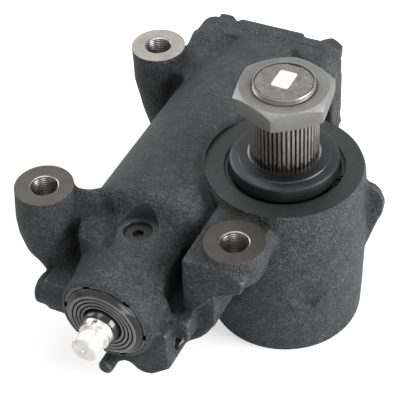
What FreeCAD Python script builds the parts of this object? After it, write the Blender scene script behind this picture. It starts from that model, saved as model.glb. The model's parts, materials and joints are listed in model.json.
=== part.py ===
import FreeCAD, Part
import math
import os

# Integral power steering gear, millimetres.
# +Z runs up along the output shaft, +Y along the cylinder to its rear cover.
# The origin is on the output shaft's axis, in the plane of the mounting faces.

V = FreeCAD.Vector
X_AXIS = V(1, 0, 0)
Y_AXIS = V(0, 1, 0)
Z_AXIS = V(0, 0, 1)

# Fits
FIT = 0.05                      # radial gap of a seated or running cylinder
LOOSE = 0.3                     # gap between parts that pass without touching
WALL = 7.0                      # least wall of the casting

# Layout of the two axes
PITCH_RADIUS = 45.0             # sector pitch radius
RACK_OFFSET = 32.0              # rack pitch plane out from the cylinder axis
AXIS_DROP = 56.0                # mounting faces down to cylinder axis
CENTRE_DISTANCE = PITCH_RADIUS + RACK_OFFSET
CX = -CENTRE_DISTANCE
CZ = -AXIS_DROP

# Gearing
TOOTH_COUNT = 12                # teeth of a full sector wheel
SECTOR_TEETH = 3
PRESSURE_ANGLE = math.radians(27.0)
ADDENDUM = 5.4
DEDENDUM = 6.5
BACKLASH = 0.3
SWING = math.radians(40.0)      # sector swing each way from centre
WORM_RATIO = 20.0               # worm turns per sector turn
SECTOR_FACE = 48.0              # tooth width of the sector
TOOTH_PITCH = 2 * math.pi * PITCH_RADIUS / TOOTH_COUNT
LEAD = 2 * math.pi * PITCH_RADIUS / WORM_RATIO
STROKE = PITCH_RADIUS * SWING
SECTOR_TIP = PITCH_RADIUS + ADDENDUM
SECTOR_ROOT = PITCH_RADIUS - DEDENDUM

# Cylinder and piston
BORE_RADIUS = 42.0
PISTON_HEAD_LENGTH = 50.0       # full round behind the rack
TAIL_RADIUS = 27.0
TAIL_LENGTH = 13.0
RACK_LAND = 3.5                 # flat land outside the outermost rack gap
END_PLUG_FLATS = 14.0           # hexagon socket of the end plug
END_PLUG_SOCKET_DEPTH = 8.0
STOP_GAP = 1.6                  # spare stroke before metal meets metal
SEAL_GROOVE_DEPTH = 3.0
SEAL_HALF_WIDTH = 1.65
SEAL_GROOVE_WIDTH = 5.0
RACK_TIP = RACK_OFFSET + ADDENDUM
RACK_ROOT = RACK_OFFSET - DEDENDUM
GAP_HALF_AT_TIP = TOOTH_PITCH / 4 + BACKLASH / 2 + ADDENDUM * math.tan(PRESSURE_ANGLE)
RACK_FRONT = -(TOOTH_PITCH + GAP_HALF_AT_TIP + RACK_LAND)
PISTON_RADIUS = BORE_RADIUS - FIT
ROUND_CLEAR = math.sqrt((SECTOR_ROOT + 0.8) ** 2 - (CENTRE_DISTANCE - BORE_RADIUS) ** 2)
RACK_BACK = ROUND_CLEAR + STROKE
PISTON_BACK = RACK_BACK + PISTON_HEAD_LENGTH
TAIL_FRONT = RACK_FRONT - TAIL_LENGTH
BORE_FRONT = RACK_FRONT - STROKE - STOP_GAP
TAIL_BORE_FRONT = TAIL_FRONT - STROKE - STOP_GAP

# Ball screw
BALL_RADIUS = 3.97
BALL_CIRCLE = 17.0
TRACK_RADIUS = BALL_RADIUS + 0.13
TRACK_TURNS = 2
BALL_STEP_DEG = 40.0
WORM_RADIUS = BALL_CIRCLE - 0.8
NUT_BORE = BALL_CIRCLE + 0.8
TRACK_START = TAIL_FRONT + 18.0
TRACK_END = TRACK_START + TRACK_TURNS * LEAD
TUBE_RADIUS = 4.7
TUBE_BORE = BALL_RADIUS + 0.15
TUBE_SETTLE = 31.5              # tube centreline out from the cylinder axis
CLAMP_SCREW_DEPTH = 3.0

# Valve end
WEB_THICKNESS = 4.0
WEB_HOLE = NUT_BORE + 0.4
VALVE_BORE = 26.0
THRUST_THICKNESS = 4.0
COLLAR_THICKNESS = 6.0
SLEEVE_LENGTH = 29.0
ROTOR_RADIUS = 14.0
ADJUSTER_BORE = 31.0
ADJUSTER_THICKNESS = 12.0
BOOT_RECESS = 6.0
INPUT_SEAL_RADIUS = 12.4
STUB_RADIUS = 11.0
STUB_LENGTH = 31.0              # stub in front of the valve end face
INPUT_COLLAR = 11.8
INPUT_SEAL_OUTER = 19.0
INPUT_RACE_OUTER = 17.0
PIN_RADIUS = 1.5
WORM_NECK = 15.0
GROOVE_SPARE = 2.0              # groove beyond the track at either end of the stroke
THREAD_END = TRACK_RADIUS + 2.0
SLEEVE_RING_WIDTH = 2.4
BOOT_RIBS = 4
TORSION_RADIUS = 3.5
TORSION_END_RADIUS = 4.5
WEB_FRONT = TAIL_BORE_FRONT - WEB_THICKNESS
COLLAR_BACK = WEB_FRONT - THRUST_THICKNESS
COLLAR_FRONT = COLLAR_BACK - COLLAR_THICKNESS
SLEEVE_FRONT = COLLAR_FRONT - SLEEVE_LENGTH
ADJUSTER_BACK = SLEEVE_FRONT - THRUST_THICKNESS
ADJUSTER_FRONT = ADJUSTER_BACK - ADJUSTER_THICKNESS
VALVE_FACE = ADJUSTER_FRONT - BOOT_RECESS
STUB_TIP = VALVE_FACE - STUB_LENGTH

# Rear cover
REAR_JOINT = 150.0
COVER_THICKNESS = 12.0
COVER_RAISE = 4.5
COVER_PILOT = 8.0
BAND_HALF_WIDTH = 33.0
BAND_HALF_HEIGHT = 19.0
FLANGE_WIDTH = 130.0
FLANGE_HEIGHT = 98.6
FLANGE_CORNER = 17.0
FLANGE_THICKNESS = 8.0
BOLT_HALF_X = 47.0
BOLT_HALF_Z = 32.0
BOLT_RADIUS = 6.0
BOLT_DEPTH = 22.0
BOLT_HEAD_FLATS = 19.0
BOLT_HEAD_HEIGHT = 9.0
BOLT_PAD_RADIUS = 16.5

# Output shaft, from the bottom up
CASE_BOTTOM = -139.0
SIDE_COVER_BACK = -132.5        # outer face of the side cover
SIDE_COVER_THICKNESS = 12.5
COVER_SHOULDER = 2.2            # side cover seat outside the sector chamber
HUB_RADIUS = 39.0
JOURNAL_LOW = 25.0
JOURNAL_TOP = 27.0
SECTOR_HUB = 31.0
END_DISC_RADIUS = 21.15
RACE_THICKNESS = 3.0
ROLLER_RADIUS = 2.5
ROLLER_COUNT = 16
SHAFT_BOTTOM = -112.0
SEAL_BORE = 44.2
SEAL_BORE_DEPTH = 12.0
SHIELD_RADIUS = 40.4
SHIELD_RIM = 8.3
SPLINE_START = 12.7
SPLINE_RADIUS = 25.4
SPLINE_DEPTH = 1.5
SPLINE_COUNT = 48
THREAD_RADIUS = 22.5
THREAD_START = 57.0
SHAFT_TOP = 76.3
NUT_FLATS = 65.0
NUT_THICKNESS = 14.5
NUT_BELOW_END = 3.6
NUT_TURN = 38.3                 # degrees from +X to a corner of the nut
SCREW_RADIUS = 8.0
SCREW_HEAD_RADIUS = 12.0

# Casting
BARREL_RADIUS = 60.0
DRUM_WALL = 6.6                 # wall outside the side cover
RING_FACE_BEVEL = 2.0
VALVE_CASE_RADIUS = 37.5
BOSS_RADIUS = 22.0
BOSS_THREAD = 10.2
BOSS_DEPTH = 40.0
BOSS_REACH = 76.0               # left bosses out from the cylinder axis
BOSS_REAR_Y = 97.0
BOSS_FRONT_Y = -89.0
PORT_RADIUS = 8.2
PORT_DEPTH = 17.0
RETURN_PORT_Y = -122.0
RETURN_PORT_Z = -72.0
PRESSURE_PORT_Y = -117.0
PRESSURE_PORT_Z = -86.0
PRESSURE_PORT_FACE = -33.5
RETURN_PORT_FACE = -146.0
OIL_WAY_RADIUS = 3.5
PLUG_FACE = -18.0
PLUG_BOSS_RADIUS = 16.0
PLUG_RADIUS = 10.0
PLUG_Y = -89.0
PLUG_FLOOR = CZ + TAIL_RADIUS + 2.0

# Places that follow from the values above
COVER_GROOVE = REAR_JOINT - COVER_PILOT / 2
SIDE_GROOVE = SIDE_COVER_BACK + SIDE_COVER_THICKNESS / 2
END_PLUG_RADIUS = NUT_BORE + 2.2
END_PLUG_Y = PISTON_BACK - 16.0
SEAL_RING_Y = PISTON_BACK - 14.0
TUBE_BEND = TUBE_RADIUS + 1.5
POCKET_FLOOR = TUBE_SETTLE - TUBE_BEND - LOOSE
POCKET_HALF = TUBE_RADIUS + 8.0
TUBE_MIDDLE = (TRACK_START + TRACK_END) / 2
STUB_SERRATED = STUB_TIP + 12.0
BOOT_NOSE = VALVE_FACE - 10.0
BOOT_FLOOR = VALVE_FACE + 3.0
BAR_FRONT = STUB_TIP + 9.0
BAR_BACK = COLLAR_BACK + 14.0
DRIVE_PIN_Y = COLLAR_BACK + 7.0
INPUT_PIN_Y = STUB_SERRATED + 7.5
SECTOR_TOP = CZ + SECTOR_FACE / 2
SECTOR_BOTTOM = CZ - SECTOR_FACE / 2
HUB_TOP = SECTOR_BOTTOM - 6.0
CHAMBER_RADIUS = SECTOR_TIP + 0.8
SIDE_COVER_RADIUS = CHAMBER_RADIUS + COVER_SHOULDER
DRUM_RADIUS = SIDE_COVER_RADIUS + DRUM_WALL
DRUM_BULGE = DRUM_RADIUS + 2.0
RING_FACE_RADIUS = DRUM_RADIUS - RING_FACE_BEVEL
BOSS_LEFT_X = CX - BOSS_REACH
CHAMBER_TOP = SECTOR_TOP + 4.0
RACE_TOP_RADIUS = JOURNAL_TOP + 2 * ROLLER_RADIUS + RACE_THICKNESS
RACE_LOW_RADIUS = JOURNAL_LOW + 2 * ROLLER_RADIUS + RACE_THICKNESS


def rod(radius, start, end):
    span = end - start
    return Part.makeCylinder(radius, span.Length, start, span)


def rod_y(radius, y0, y1, x=CX, z=CZ):
    return rod(radius, V(x, y0, z), V(x, y1, z))


def rod_z(radius, z0, z1, x=0.0, y=0.0):
    return rod(radius, V(x, y, z0), V(x, y, z1))


def rod_x(radius, x0, x1, y=0.0, z=0.0):
    return rod(radius, V(x0, y, z), V(x1, y, z))


def ring_y(inner, outer, y0, y1):
    return rod_y(outer, y0, y1).cut(rod_y(inner, y0, y1))


def ring_z(inner, outer, z0, z1, x=0.0, y=0.0):
    return rod_z(outer, z0, z1, x, y).cut(rod_z(inner, z0, z1, x, y))


def box(x0, x1, y0, y1, z0, z1):
    return Part.makeBox(x1 - x0, y1 - y0, z1 - z0, V(x0, y0, z0))


def face_of(points):
    return Part.Face(Part.makePolygon(points + [points[0]]))


def turned_y(outline):
    """Solid of revolution about the cylinder axis from (y, radius) points."""
    face = face_of([V(CX + radius, y, CZ) for y, radius in outline])
    return face.revolve(V(CX, 0, CZ), Y_AXIS, 360)


def turned_z(outline, x=0.0, y=0.0):
    """Solid of revolution about an upright axis from (radius, z) points."""
    face = face_of([V(x + radius, y, z) for radius, z in outline])
    return face.revolve(V(x, y, 0), Z_AXIS, 360)


def slab_xz(outline, y0, y1):
    """Outline of (x, z) points extruded along Y."""
    return face_of([V(x, y0, z) for x, z in outline]).extrude(V(0, y1 - y0, 0))


def slab_xy(outline, z0, z1):
    """Outline of (x, y) points extruded along Z."""
    return face_of([V(x, y, z0) for x, y in outline]).extrude(V(0, 0, z1 - z0))


def loft_z(sections):
    """Smooth tapering column through (x, y, z, radius) circles."""
    wires = []
    for x, y, z, radius in sections:
        circle = Part.Circle(V(x, y, z), Z_AXIS, radius)
        wires.append(Part.Wire(circle.toShape()))
    return Part.makeLoft(wires, True, False)


def hexagon(centre, axis, flats, height, first_corner=0.0):
    across = flats / math.sqrt(3)
    side = X_AXIS if abs(axis.x) < 0.5 else Y_AXIS
    other = axis.cross(side)
    points = []
    for k in range(6):
        turn = math.radians(60 * k + first_corner)
        points.append(centre + side * (across * math.cos(turn)) + other * (across * math.sin(turn)))
    return face_of(points).extrude(axis * height)


def crowned_hexagon(centre, axis, flats, height, crown, first_corner=0.0):
    """Hexagon whose outer end is turned to a cone at its corners."""
    prism = hexagon(centre, axis, flats, height, first_corner)
    corner = flats / math.sqrt(3) + 0.01
    drum = Part.makeCylinder(corner, height - crown, centre, axis)
    tip = Part.makeCone(corner, flats / 2 - 1.0, crown, centre + axis * (height - crown), axis)
    return prism.common(drum.fuse(tip))


def rounded_plate(width, height, corner, y0, y1):
    """Plate across the cylinder with rounded corners, centred on its axis."""
    plate = box(CX - width / 2, CX + width / 2, y0, y1, CZ - height / 2, CZ + height / 2)
    upright = [e for e in plate.Edges if abs(e.tangentAt(e.FirstParameter).y) > 0.9]
    return plate.makeFillet(corner, upright)


def squeezed_section(inner, outer, low, high):
    """Section (radius, place) of a rubber ring squeezed flat on its four sides."""
    soft = 0.3 * min(outer - inner, high - low)
    return [(inner, low + soft), (inner, high - soft), (inner + soft, high), (outer - soft, high),
            (outer, high - soft), (outer, low + soft), (outer - soft, low), (inner + soft, low)]


def bolt_places():
    return [(CX + sx * BOLT_HALF_X, CZ + sz * BOLT_HALF_Z) for sx in (-1, 1) for sz in (-1, 1)]


def polar(radius, turn, z=0.0):
    return V(radius * math.cos(turn), radius * math.sin(turn), z)


def screw_track(turns, y_start):
    """Round groove tool along the right-hand helix that is on the -X side at TRACK_START."""
    helix = Part.makeHelix(LEAD, turns * LEAD, BALL_CIRCLE)
    slope = math.atan2(LEAD, 2 * math.pi * BALL_CIRCLE)
    tangent = V(0, math.cos(slope), math.sin(slope))
    section = Part.Wire(Part.Circle(V(BALL_CIRCLE, 0, 0), tangent, TRACK_RADIUS).toShape())
    tool = Part.Wire(helix).makePipeShell([section], True, True)
    tool.rotate(V(0, 0, 0), X_AXIS, -90)
    tool.rotate(V(0, 0, 0), Y_AXIS, 180)
    tool.rotate(V(0, 0, 0), Y_AXIS, 360 * (y_start - TRACK_START) / LEAD)
    tool.translate(V(CX, y_start, CZ))
    return tool


# Casting
def casting_barrel():
    """Cylinder barrel that narrows to the valve end and to the rear flange."""
    outline = [
        (VALVE_FACE, 0), (VALVE_FACE, VALVE_CASE_RADIUS - 1), (VALVE_FACE + 1.5, VALVE_CASE_RADIUS),
        (BORE_FRONT - 6, VALVE_CASE_RADIUS + 0.5), (BORE_FRONT + 1, BORE_RADIUS + WALL - 1),
        (-44, BARREL_RADIUS - 1.2), (-34, BARREL_RADIUS), (95, BARREL_RADIUS),
        (102, BORE_RADIUS + WALL + 2), (REAR_JOINT - FLANGE_THICKNESS, BORE_RADIUS + WALL + 1),
        (REAR_JOINT - FLANGE_THICKNESS, 0),
    ]
    return turned_y(outline)


def casting_drum():
    outline = [
        (0, 0), (RING_FACE_RADIUS, 0), (DRUM_RADIUS - 0.5, -2), (DRUM_BULGE, -45),
        (DRUM_BULGE - 0.5, -75), (DRUM_RADIUS + 0.5, -115), (DRUM_RADIUS - 0.5, CASE_BOTTOM + 5),
        (DRUM_RADIUS - 1.8, CASE_BOTTOM + 1.8), (DRUM_RADIUS - 5, CASE_BOTTOM), (0, CASE_BOTTOM),
    ]
    return turned_z(outline)


def casting_bosses():
    rear = loft_z([
        (BOSS_LEFT_X, BOSS_REAR_Y, 0, BOSS_RADIUS),
        (BOSS_LEFT_X - 1, BOSS_REAR_Y, -22, BOSS_RADIUS + 2),
        (BOSS_LEFT_X - 2, BOSS_REAR_Y, -48, BOSS_RADIUS + 2),
        (BOSS_LEFT_X + 4, BOSS_REAR_Y, -70, BOSS_RADIUS),
        (BOSS_LEFT_X + 20, BOSS_REAR_Y - 2, -94, BOSS_RADIUS - 8),
    ])
    front = loft_z([
        (BOSS_LEFT_X, BOSS_FRONT_Y, 0, BOSS_RADIUS),
        (BOSS_LEFT_X - 4, BOSS_FRONT_Y, -26, BOSS_RADIUS + 3),
        (BOSS_LEFT_X - 5, BOSS_FRONT_Y, -48, BOSS_RADIUS + 2),
        (BOSS_LEFT_X + 3, BOSS_FRONT_Y, -70, BOSS_RADIUS - 1),
        (BOSS_LEFT_X + 18, BOSS_FRONT_Y, -92, BOSS_RADIUS - 8),
    ])
    right = rod_z(BOSS_RADIUS, -36, 0, 0, BOSS_FRONT_Y)
    return [rear, front, right]


def casting_webs():
    """Arms that tie the three mounting bosses to the barrel and the drum."""
    rear_arm = slab_xz([(BOSS_LEFT_X, -8), (-118, -6), (-90, 0), (-90, -60), (-132, -92),
                        (BOSS_LEFT_X, -60)], BOSS_REAR_Y - 15, BOSS_REAR_Y + 15)
    rear_tie = slab_xy([(BOSS_LEFT_X, BOSS_REAR_Y), (-134, 142), (-100, 142), (-120, 90)], -60, -22)
    front_rib = slab_xy([(-156, -74), (-132, -77), (-96, -56), (-96, -40), (-122, -44), (-150, -66)],
                        -60, -9)
    front_deck = slab_xy([(-158, -106), (-118, -110), (-88, -114), (-84, -60), (-124, -46),
                          (-156, -66)], -84, -24)
    return [rear_arm, rear_tie, front_rib, front_deck]


def casting_right_arm():
    """Block under the right-hand front boss that runs down to the valve end."""
    block = slab_xz([(-31, -3), (0, -3), (20, -14), (20, -30), (-6, -37), (-24, -57), (-31, -76)],
                    BOSS_FRONT_Y - 21, -40)
    lower = slab_xz([(-31, -20), (-6, -30), (-8, -72), (-23, -90), (-33, -90)], -108, -45)
    beam = slab_xz([(-70, -62), (-24, -58), (-24, -76), (-70, -76)], -128, -70)
    return [block, lower, beam]


def casting_ports():
    """Port bosses, the plug boss and the small peg under the valve end."""
    face = PRESSURE_PORT_FACE
    lobe = slab_xz([(-66, -60), (face, -60), (face, -100), (-40, -111), (-54, -114),
                    (-64, -108), (-84, -108), (-84, -80)], -138, -100)
    return_boss = rod_x(13.0, RETURN_PORT_FACE, -100, RETURN_PORT_Y, RETURN_PORT_Z)
    plug_boss = rod_z(PLUG_BOSS_RADIUS, -44, PLUG_FACE, CX, PLUG_Y)
    peg = rod_y(4.5, VALVE_FACE - 4, -126, -78, -100)
    return [lobe, return_boss, plug_boss, peg]


def casting_lug():
    """Rib with a bevelled edge on the drum's far side."""
    lug = slab_xz([(50, -10), (64, -13), (75, -28), (70, -52), (56, -84), (50, -84)], -11, 11)
    lug.rotate(V(0, 0, 0), Z_AXIS, 22)
    return [lug]


def rear_flange():
    plate = rounded_plate(FLANGE_WIDTH, FLANGE_HEIGHT, FLANGE_CORNER,
                          REAR_JOINT - FLANGE_THICKNESS, REAR_JOINT)
    pads = [rod_y(BOLT_PAD_RADIUS, REAR_JOINT - BOLT_DEPTH - 8, REAR_JOINT - 1, x, z)
            for x, z in bolt_places()]
    top = CZ + FLANGE_HEIGHT / 2
    block = slab_xz([(-52, top - 1.5), (-20, top - 1.5), (-13, top - 9), (-13, top - 34),
                     (-52, top - 34)], REAR_JOINT - 25, REAR_JOINT - 1)
    return [plate, block] + pads


def casting_cavities():
    cuts = [
        rod_y(BORE_RADIUS, BORE_FRONT, REAR_JOINT + 1),
        rod_y(TAIL_RADIUS + 1, TAIL_BORE_FRONT, BORE_FRONT + 1),
        rod_y(WEB_HOLE, WEB_FRONT - 1, TAIL_BORE_FRONT + 1),
        rod_y(VALVE_BORE, ADJUSTER_BACK - 1, WEB_FRONT),
        rod_y(ADJUSTER_BORE, VALVE_FACE - 1, ADJUSTER_BACK),
        rod_z(CHAMBER_RADIUS, CASE_BOTTOM - 1, CHAMBER_TOP),
        rod_z(SIDE_COVER_RADIUS + FIT, CASE_BOTTOM - 1, SIDE_COVER_BACK + SIDE_COVER_THICKNESS),
        rod_z(SIDE_COVER_RADIUS + 2.6, SIDE_COVER_BACK - 2.2, SIDE_COVER_BACK),
        rod_z(RACE_TOP_RADIUS + FIT, CHAMBER_TOP - 1, 1),
        rod_z(SEAL_BORE, -SEAL_BORE_DEPTH, 1),
        rod_z(SEAL_BORE + 2.0, -4.6, -2.2),
    ]
    for x, y in ((BOSS_LEFT_X, BOSS_REAR_Y), (BOSS_LEFT_X, BOSS_FRONT_Y), (0, BOSS_FRONT_Y)):
        depth = BOSS_DEPTH if x else 30.0
        cuts.append(rod_z(BOSS_THREAD, -depth, 1, x, y))
        cuts.append(turned_z([(0, 1), (BOSS_THREAD + 2, 1), (BOSS_THREAD - 1, -2), (0, -2)], x, y))
    for x, z in bolt_places():
        cuts.append(rod_y(BOLT_RADIUS, REAR_JOINT - BOLT_DEPTH, REAR_JOINT + 1, x, z))
    cuts.append(rod_x(PORT_RADIUS, RETURN_PORT_FACE - 1, RETURN_PORT_FACE + PORT_DEPTH,
                      RETURN_PORT_Y, RETURN_PORT_Z))
    cuts.append(rod_x(OIL_WAY_RADIUS, RETURN_PORT_FACE + PORT_DEPTH - 1, -96, RETURN_PORT_Y,
                      RETURN_PORT_Z + 4))
    cuts.append(rod_x(PORT_RADIUS, PRESSURE_PORT_FACE - PORT_DEPTH, PRESSURE_PORT_FACE + 1,
                      PRESSURE_PORT_Y, PRESSURE_PORT_Z))
    cuts.append(rod_x(PORT_RADIUS + 6, PRESSURE_PORT_FACE, 0, PRESSURE_PORT_Y, PRESSURE_PORT_Z))
    cuts.append(rod(OIL_WAY_RADIUS, V(PRESSURE_PORT_FACE - PORT_DEPTH + 3, PRESSURE_PORT_Y,
                                      PRESSURE_PORT_Z), V(-62, PRESSURE_PORT_Y, -68)))
    cuts.append(rod_z(PLUG_RADIUS, PLUG_FLOOR, PLUG_FACE + 1, CX, PLUG_Y))
    cuts.append(rod_z(3.0, CZ + VALVE_BORE - 2, PLUG_FACE, CX, PLUG_Y))
    return cuts


def gear_housing():
    solids = [casting_drum()] + casting_bosses() + casting_webs() + casting_right_arm()
    solids += casting_ports() + casting_lug() + rear_flange()
    body = casting_barrel().multiFuse(solids)
    ring_face = rod_z(RING_FACE_RADIUS + 1, 0, 20)
    body = body.cut(ring_face)
    return body.cut(Part.makeCompound(casting_cavities()))


# Rear cover
def rear_end_cover():
    """Cover plate with a raised cross between its bolt pads and a sealed pilot."""
    outer = REAR_JOINT + COVER_THICKNESS
    plate = rounded_plate(FLANGE_WIDTH, FLANGE_HEIGHT, FLANGE_CORNER, REAR_JOINT, outer)
    upright = box(CX - BAND_HALF_WIDTH, CX + BAND_HALF_WIDTH, REAR_JOINT + 2, outer + COVER_RAISE,
                  CZ - FLANGE_HEIGHT / 2 + 1, CZ + FLANGE_HEIGHT / 2)
    upright = upright.makeChamfer(1.5, [e for e in upright.Edges if e.CenterOfMass.y > outer + 4])
    level = box(CX - FLANGE_WIDTH / 2 + 1, CX + FLANGE_WIDTH / 2 - 1, REAR_JOINT + 2,
                outer + COVER_RAISE, CZ - BAND_HALF_HEIGHT, CZ + BAND_HALF_HEIGHT)
    level = level.makeChamfer(1.5, [e for e in level.Edges if e.CenterOfMass.y > outer + 4])
    pilot = rod_y(BORE_RADIUS - FIT, REAR_JOINT - COVER_PILOT, REAR_JOINT + 1)
    cover = plate.multiFuse([upright, level, pilot])
    half = SEAL_HALF_WIDTH + FIT
    groove = ring_y(BORE_RADIUS - SEAL_GROOVE_DEPTH, BORE_RADIUS + 1, COVER_GROOVE - half,
                    COVER_GROOVE + half)
    dish = turned_y([(REAR_JOINT - COVER_PILOT - 1, 0), (REAR_JOINT - COVER_PILOT - 1, 33),
                     (REAR_JOINT + 3, 29), (REAR_JOINT + 3, 0)])
    cuts = [groove, dish]
    for x, z in bolt_places():
        cuts.append(rod_y(BOLT_RADIUS + 0.5, REAR_JOINT - 1, outer + 1, x, z))
    return cover.cut(Part.makeCompound(cuts))


def end_cover_bolts():
    seat = REAR_JOINT + COVER_THICKNESS
    bolts = []
    for x, z in bolt_places():
        shank = rod_y(BOLT_RADIUS - FIT, REAR_JOINT - BOLT_DEPTH + 2, seat + 1, x, z)
        washer = rod_y(BOLT_HEAD_FLATS / 2 + 1, seat, seat + 1.5, x, z)
        head = crowned_hexagon(V(x, seat + 1, z), Y_AXIS, BOLT_HEAD_FLATS, BOLT_HEAD_HEIGHT, 1.6)
        bolts.append(shank.multiFuse([washer, head]))
    return Part.makeCompound(bolts)


def end_cover_seal():
    section = squeezed_section(BORE_RADIUS - SEAL_GROOVE_DEPTH + FIT, BORE_RADIUS - FIT,
                               COVER_GROOVE - SEAL_HALF_WIDTH, COVER_GROOVE + SEAL_HALF_WIDTH)
    return turned_y([(y, radius) for radius, y in section])


# Output shaft
def involute(angle):
    return math.tan(angle) - angle


def flank(radius):
    """Half angle of a sector tooth at a radius."""
    base = PITCH_RADIUS * math.cos(PRESSURE_ANGLE)
    at_pitch = math.pi / (2 * TOOTH_COUNT)
    here = math.acos(min(1.0, base / radius))
    return at_pitch + involute(PRESSURE_ANGLE) - involute(here)


def sector_tooth(turn):
    """One involute tooth centred on a direction in the XY plane."""
    base = PITCH_RADIUS * math.cos(PRESSURE_ANGLE) + 0.001
    radii = [base + (SECTOR_TIP - base) * k / 4 for k in range(5)]
    low = SECTOR_ROOT - 3
    left = [polar(r, turn - flank(r), SECTOR_BOTTOM) for r in radii]
    right = [polar(r, turn + flank(r), SECTOR_BOTTOM) for r in radii]
    foot_left = polar(low, turn - flank(base), SECTOR_BOTTOM)
    foot_right = polar(low, turn + flank(base), SECTOR_BOTTOM)
    left_curve = Part.BSplineCurve()
    left_curve.interpolate(left)
    right_curve = Part.BSplineCurve()
    right_curve.interpolate(right)
    tip = Part.Arc(left[-1], polar(SECTOR_TIP, turn, SECTOR_BOTTOM), right[-1])
    edges = [
        Part.makeLine(foot_left, left[0]), left_curve.toShape(), tip.toShape(),
        right_curve.toShape(), Part.makeLine(right[0], foot_right),
        Part.makeLine(foot_right, foot_left),
    ]
    return Part.Face(Part.Wire(Part.__sortEdges__(edges))).extrude(V(0, 0, SECTOR_FACE))


def serrated_rod(radius, depth, count, length):
    """Upright rod from z = 0 with V-shaped serrations."""
    points = []
    for k in range(count):
        turn = 2 * math.pi * k / count
        points.append(polar(radius - depth, turn - math.pi / count))
        points.append(polar(radius, turn - 0.12 * math.pi / count))
        points.append(polar(radius, turn + 0.12 * math.pi / count))
    return face_of(points).extrude(V(0, 0, length))


def sector_shaft():
    """Output shaft with its sector teeth, serrations, thread and adjuster slot."""
    spline_root = SPLINE_RADIUS - SPLINE_DEPTH
    outline = [
        (0, SHAFT_BOTTOM), (JOURNAL_LOW - 1, SHAFT_BOTTOM), (JOURNAL_LOW, SHAFT_BOTTOM + 1),
        (JOURNAL_LOW, SECTOR_BOTTOM - 2), (SECTOR_HUB, SECTOR_BOTTOM - 2),
        (SECTOR_HUB, SECTOR_TOP + 2), (JOURNAL_TOP, SECTOR_TOP + 2), (JOURNAL_TOP, SPLINE_START),
        (spline_root - 0.6, SPLINE_START + 1.2), (spline_root - 0.6, THREAD_START),
        (THREAD_RADIUS - 1.2, THREAD_START), (THREAD_RADIUS - 1.2, THREAD_START + 2),
        (THREAD_RADIUS, THREAD_START + 3), (THREAD_RADIUS, SHAFT_TOP - 0.8),
        (THREAD_RADIUS - 0.7, SHAFT_TOP), (END_DISC_RADIUS, SHAFT_TOP),
        (END_DISC_RADIUS, SHAFT_TOP - 0.8), (0, SHAFT_TOP - 0.8),
    ]
    core = turned_z(outline)
    serrations = serrated_rod(SPLINE_RADIUS, SPLINE_DEPTH, SPLINE_COUNT,
                              THREAD_START - SPLINE_START - 1)
    serrations.translate(V(0, 0, SPLINE_START))
    envelope = turned_z([(0, SPLINE_START - 1), (JOURNAL_TOP, SPLINE_START - 1),
                         (JOURNAL_TOP, THREAD_START - 4), (spline_root - 0.6, THREAD_START - 1),
                         (0, THREAD_START - 1)])
    serrations = serrations.common(envelope)
    span = math.radians(360 / TOOTH_COUNT * (SECTOR_TEETH - 1) / 2 + 18)
    wedge = slab_xy([(0, 0), (-90, -90 * math.tan(span)), (-90, 90 * math.tan(span))],
                    SECTOR_BOTTOM, SECTOR_TOP)
    blank = rod_z(SECTOR_ROOT, SECTOR_BOTTOM, SECTOR_TOP).common(wedge)
    teeth = []
    for k in range(SECTOR_TEETH):
        step = k - (SECTOR_TEETH - 1) / 2
        teeth.append(sector_tooth(math.pi + step * 2 * math.pi / TOOTH_COUNT))
    shaft = core.multiFuse([serrations, blank] + teeth)
    return shaft.cut(rod_z(SCREW_HEAD_RADIUS + 0.5, SHAFT_BOTTOM - 1, SHAFT_BOTTOM + 10))


def pitman_nut():
    top = SHAFT_TOP - NUT_BELOW_END
    nut = crowned_hexagon(V(0, 0, top - NUT_THICKNESS), Z_AXIS, NUT_FLATS, NUT_THICKNESS, 3.2,
                          NUT_TURN)
    bore = rod_z(THREAD_RADIUS + FIT, 0, SHAFT_TOP + 5)
    lead_in = Part.makeCone(THREAD_RADIUS, THREAD_RADIUS + 1.6, 1.6, V(0, 0, top - 1.6))
    return nut.cut(bore.fuse(lead_in))


def dust_shield():
    """Pressed steel shield that turns with the shaft over the seal bore."""
    inner = JOURNAL_TOP + FIT
    outline = [
        (inner, SHIELD_RIM + 1), (inner, SPLINE_START - 0.3), (inner + 7, SPLINE_START - 0.7),
        (SHIELD_RADIUS - 1.4, SHIELD_RIM + 0.9), (SHIELD_RADIUS, SHIELD_RIM - 0.3),
        (SHIELD_RADIUS, -1.5), (SHIELD_RADIUS - 1.8, -1.5), (SHIELD_RADIUS - 1.8, SHIELD_RIM - 1.8),
        (inner + 6, SHIELD_RIM + 1),
    ]
    return turned_z(outline)


def output_shaft_seal():
    inner = JOURNAL_TOP + FIT
    outer = SEAL_BORE - FIT
    low = -SEAL_BORE_DEPTH + FIT
    return turned_z([(outer, low), (outer, -4.7), (outer - 2.5, -4.7), (outer - 2.5, low + 2.4),
                     (inner + 3, low + 2.4), (inner + 1, -5.2), (inner, -7.5), (inner + 1.5, low)])


def open_ring(inner, outer, z0, z1, gap):
    """Retaining ring with a gap at +X and an eyed lug at each of its ends."""
    ring = ring_z(inner, outer, z0, z1).cut(box(0, outer + 2, -gap / 2, gap / 2, z0 - 1, z1 + 1))
    for side in (-1, 1):
        y = side * (gap / 2 + 2.6)
        x = math.sqrt((inner + 0.8) ** 2 - y * y)
        ring = ring.fuse(rod_z(2.6, z0, z1, x, y)).cut(rod_z(1.2, z0 - 1, z1 + 1, x, y))
    return ring


def output_snap_ring():
    return open_ring(SEAL_BORE - 2.2, SEAL_BORE + 1.9, -4.5, -2.3, 5.0)


def bearing_race(journal, z0, z1):
    inner = journal + 2 * ROLLER_RADIUS
    return ring_z(inner, inner + RACE_THICKNESS, z0, z1)


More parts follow.
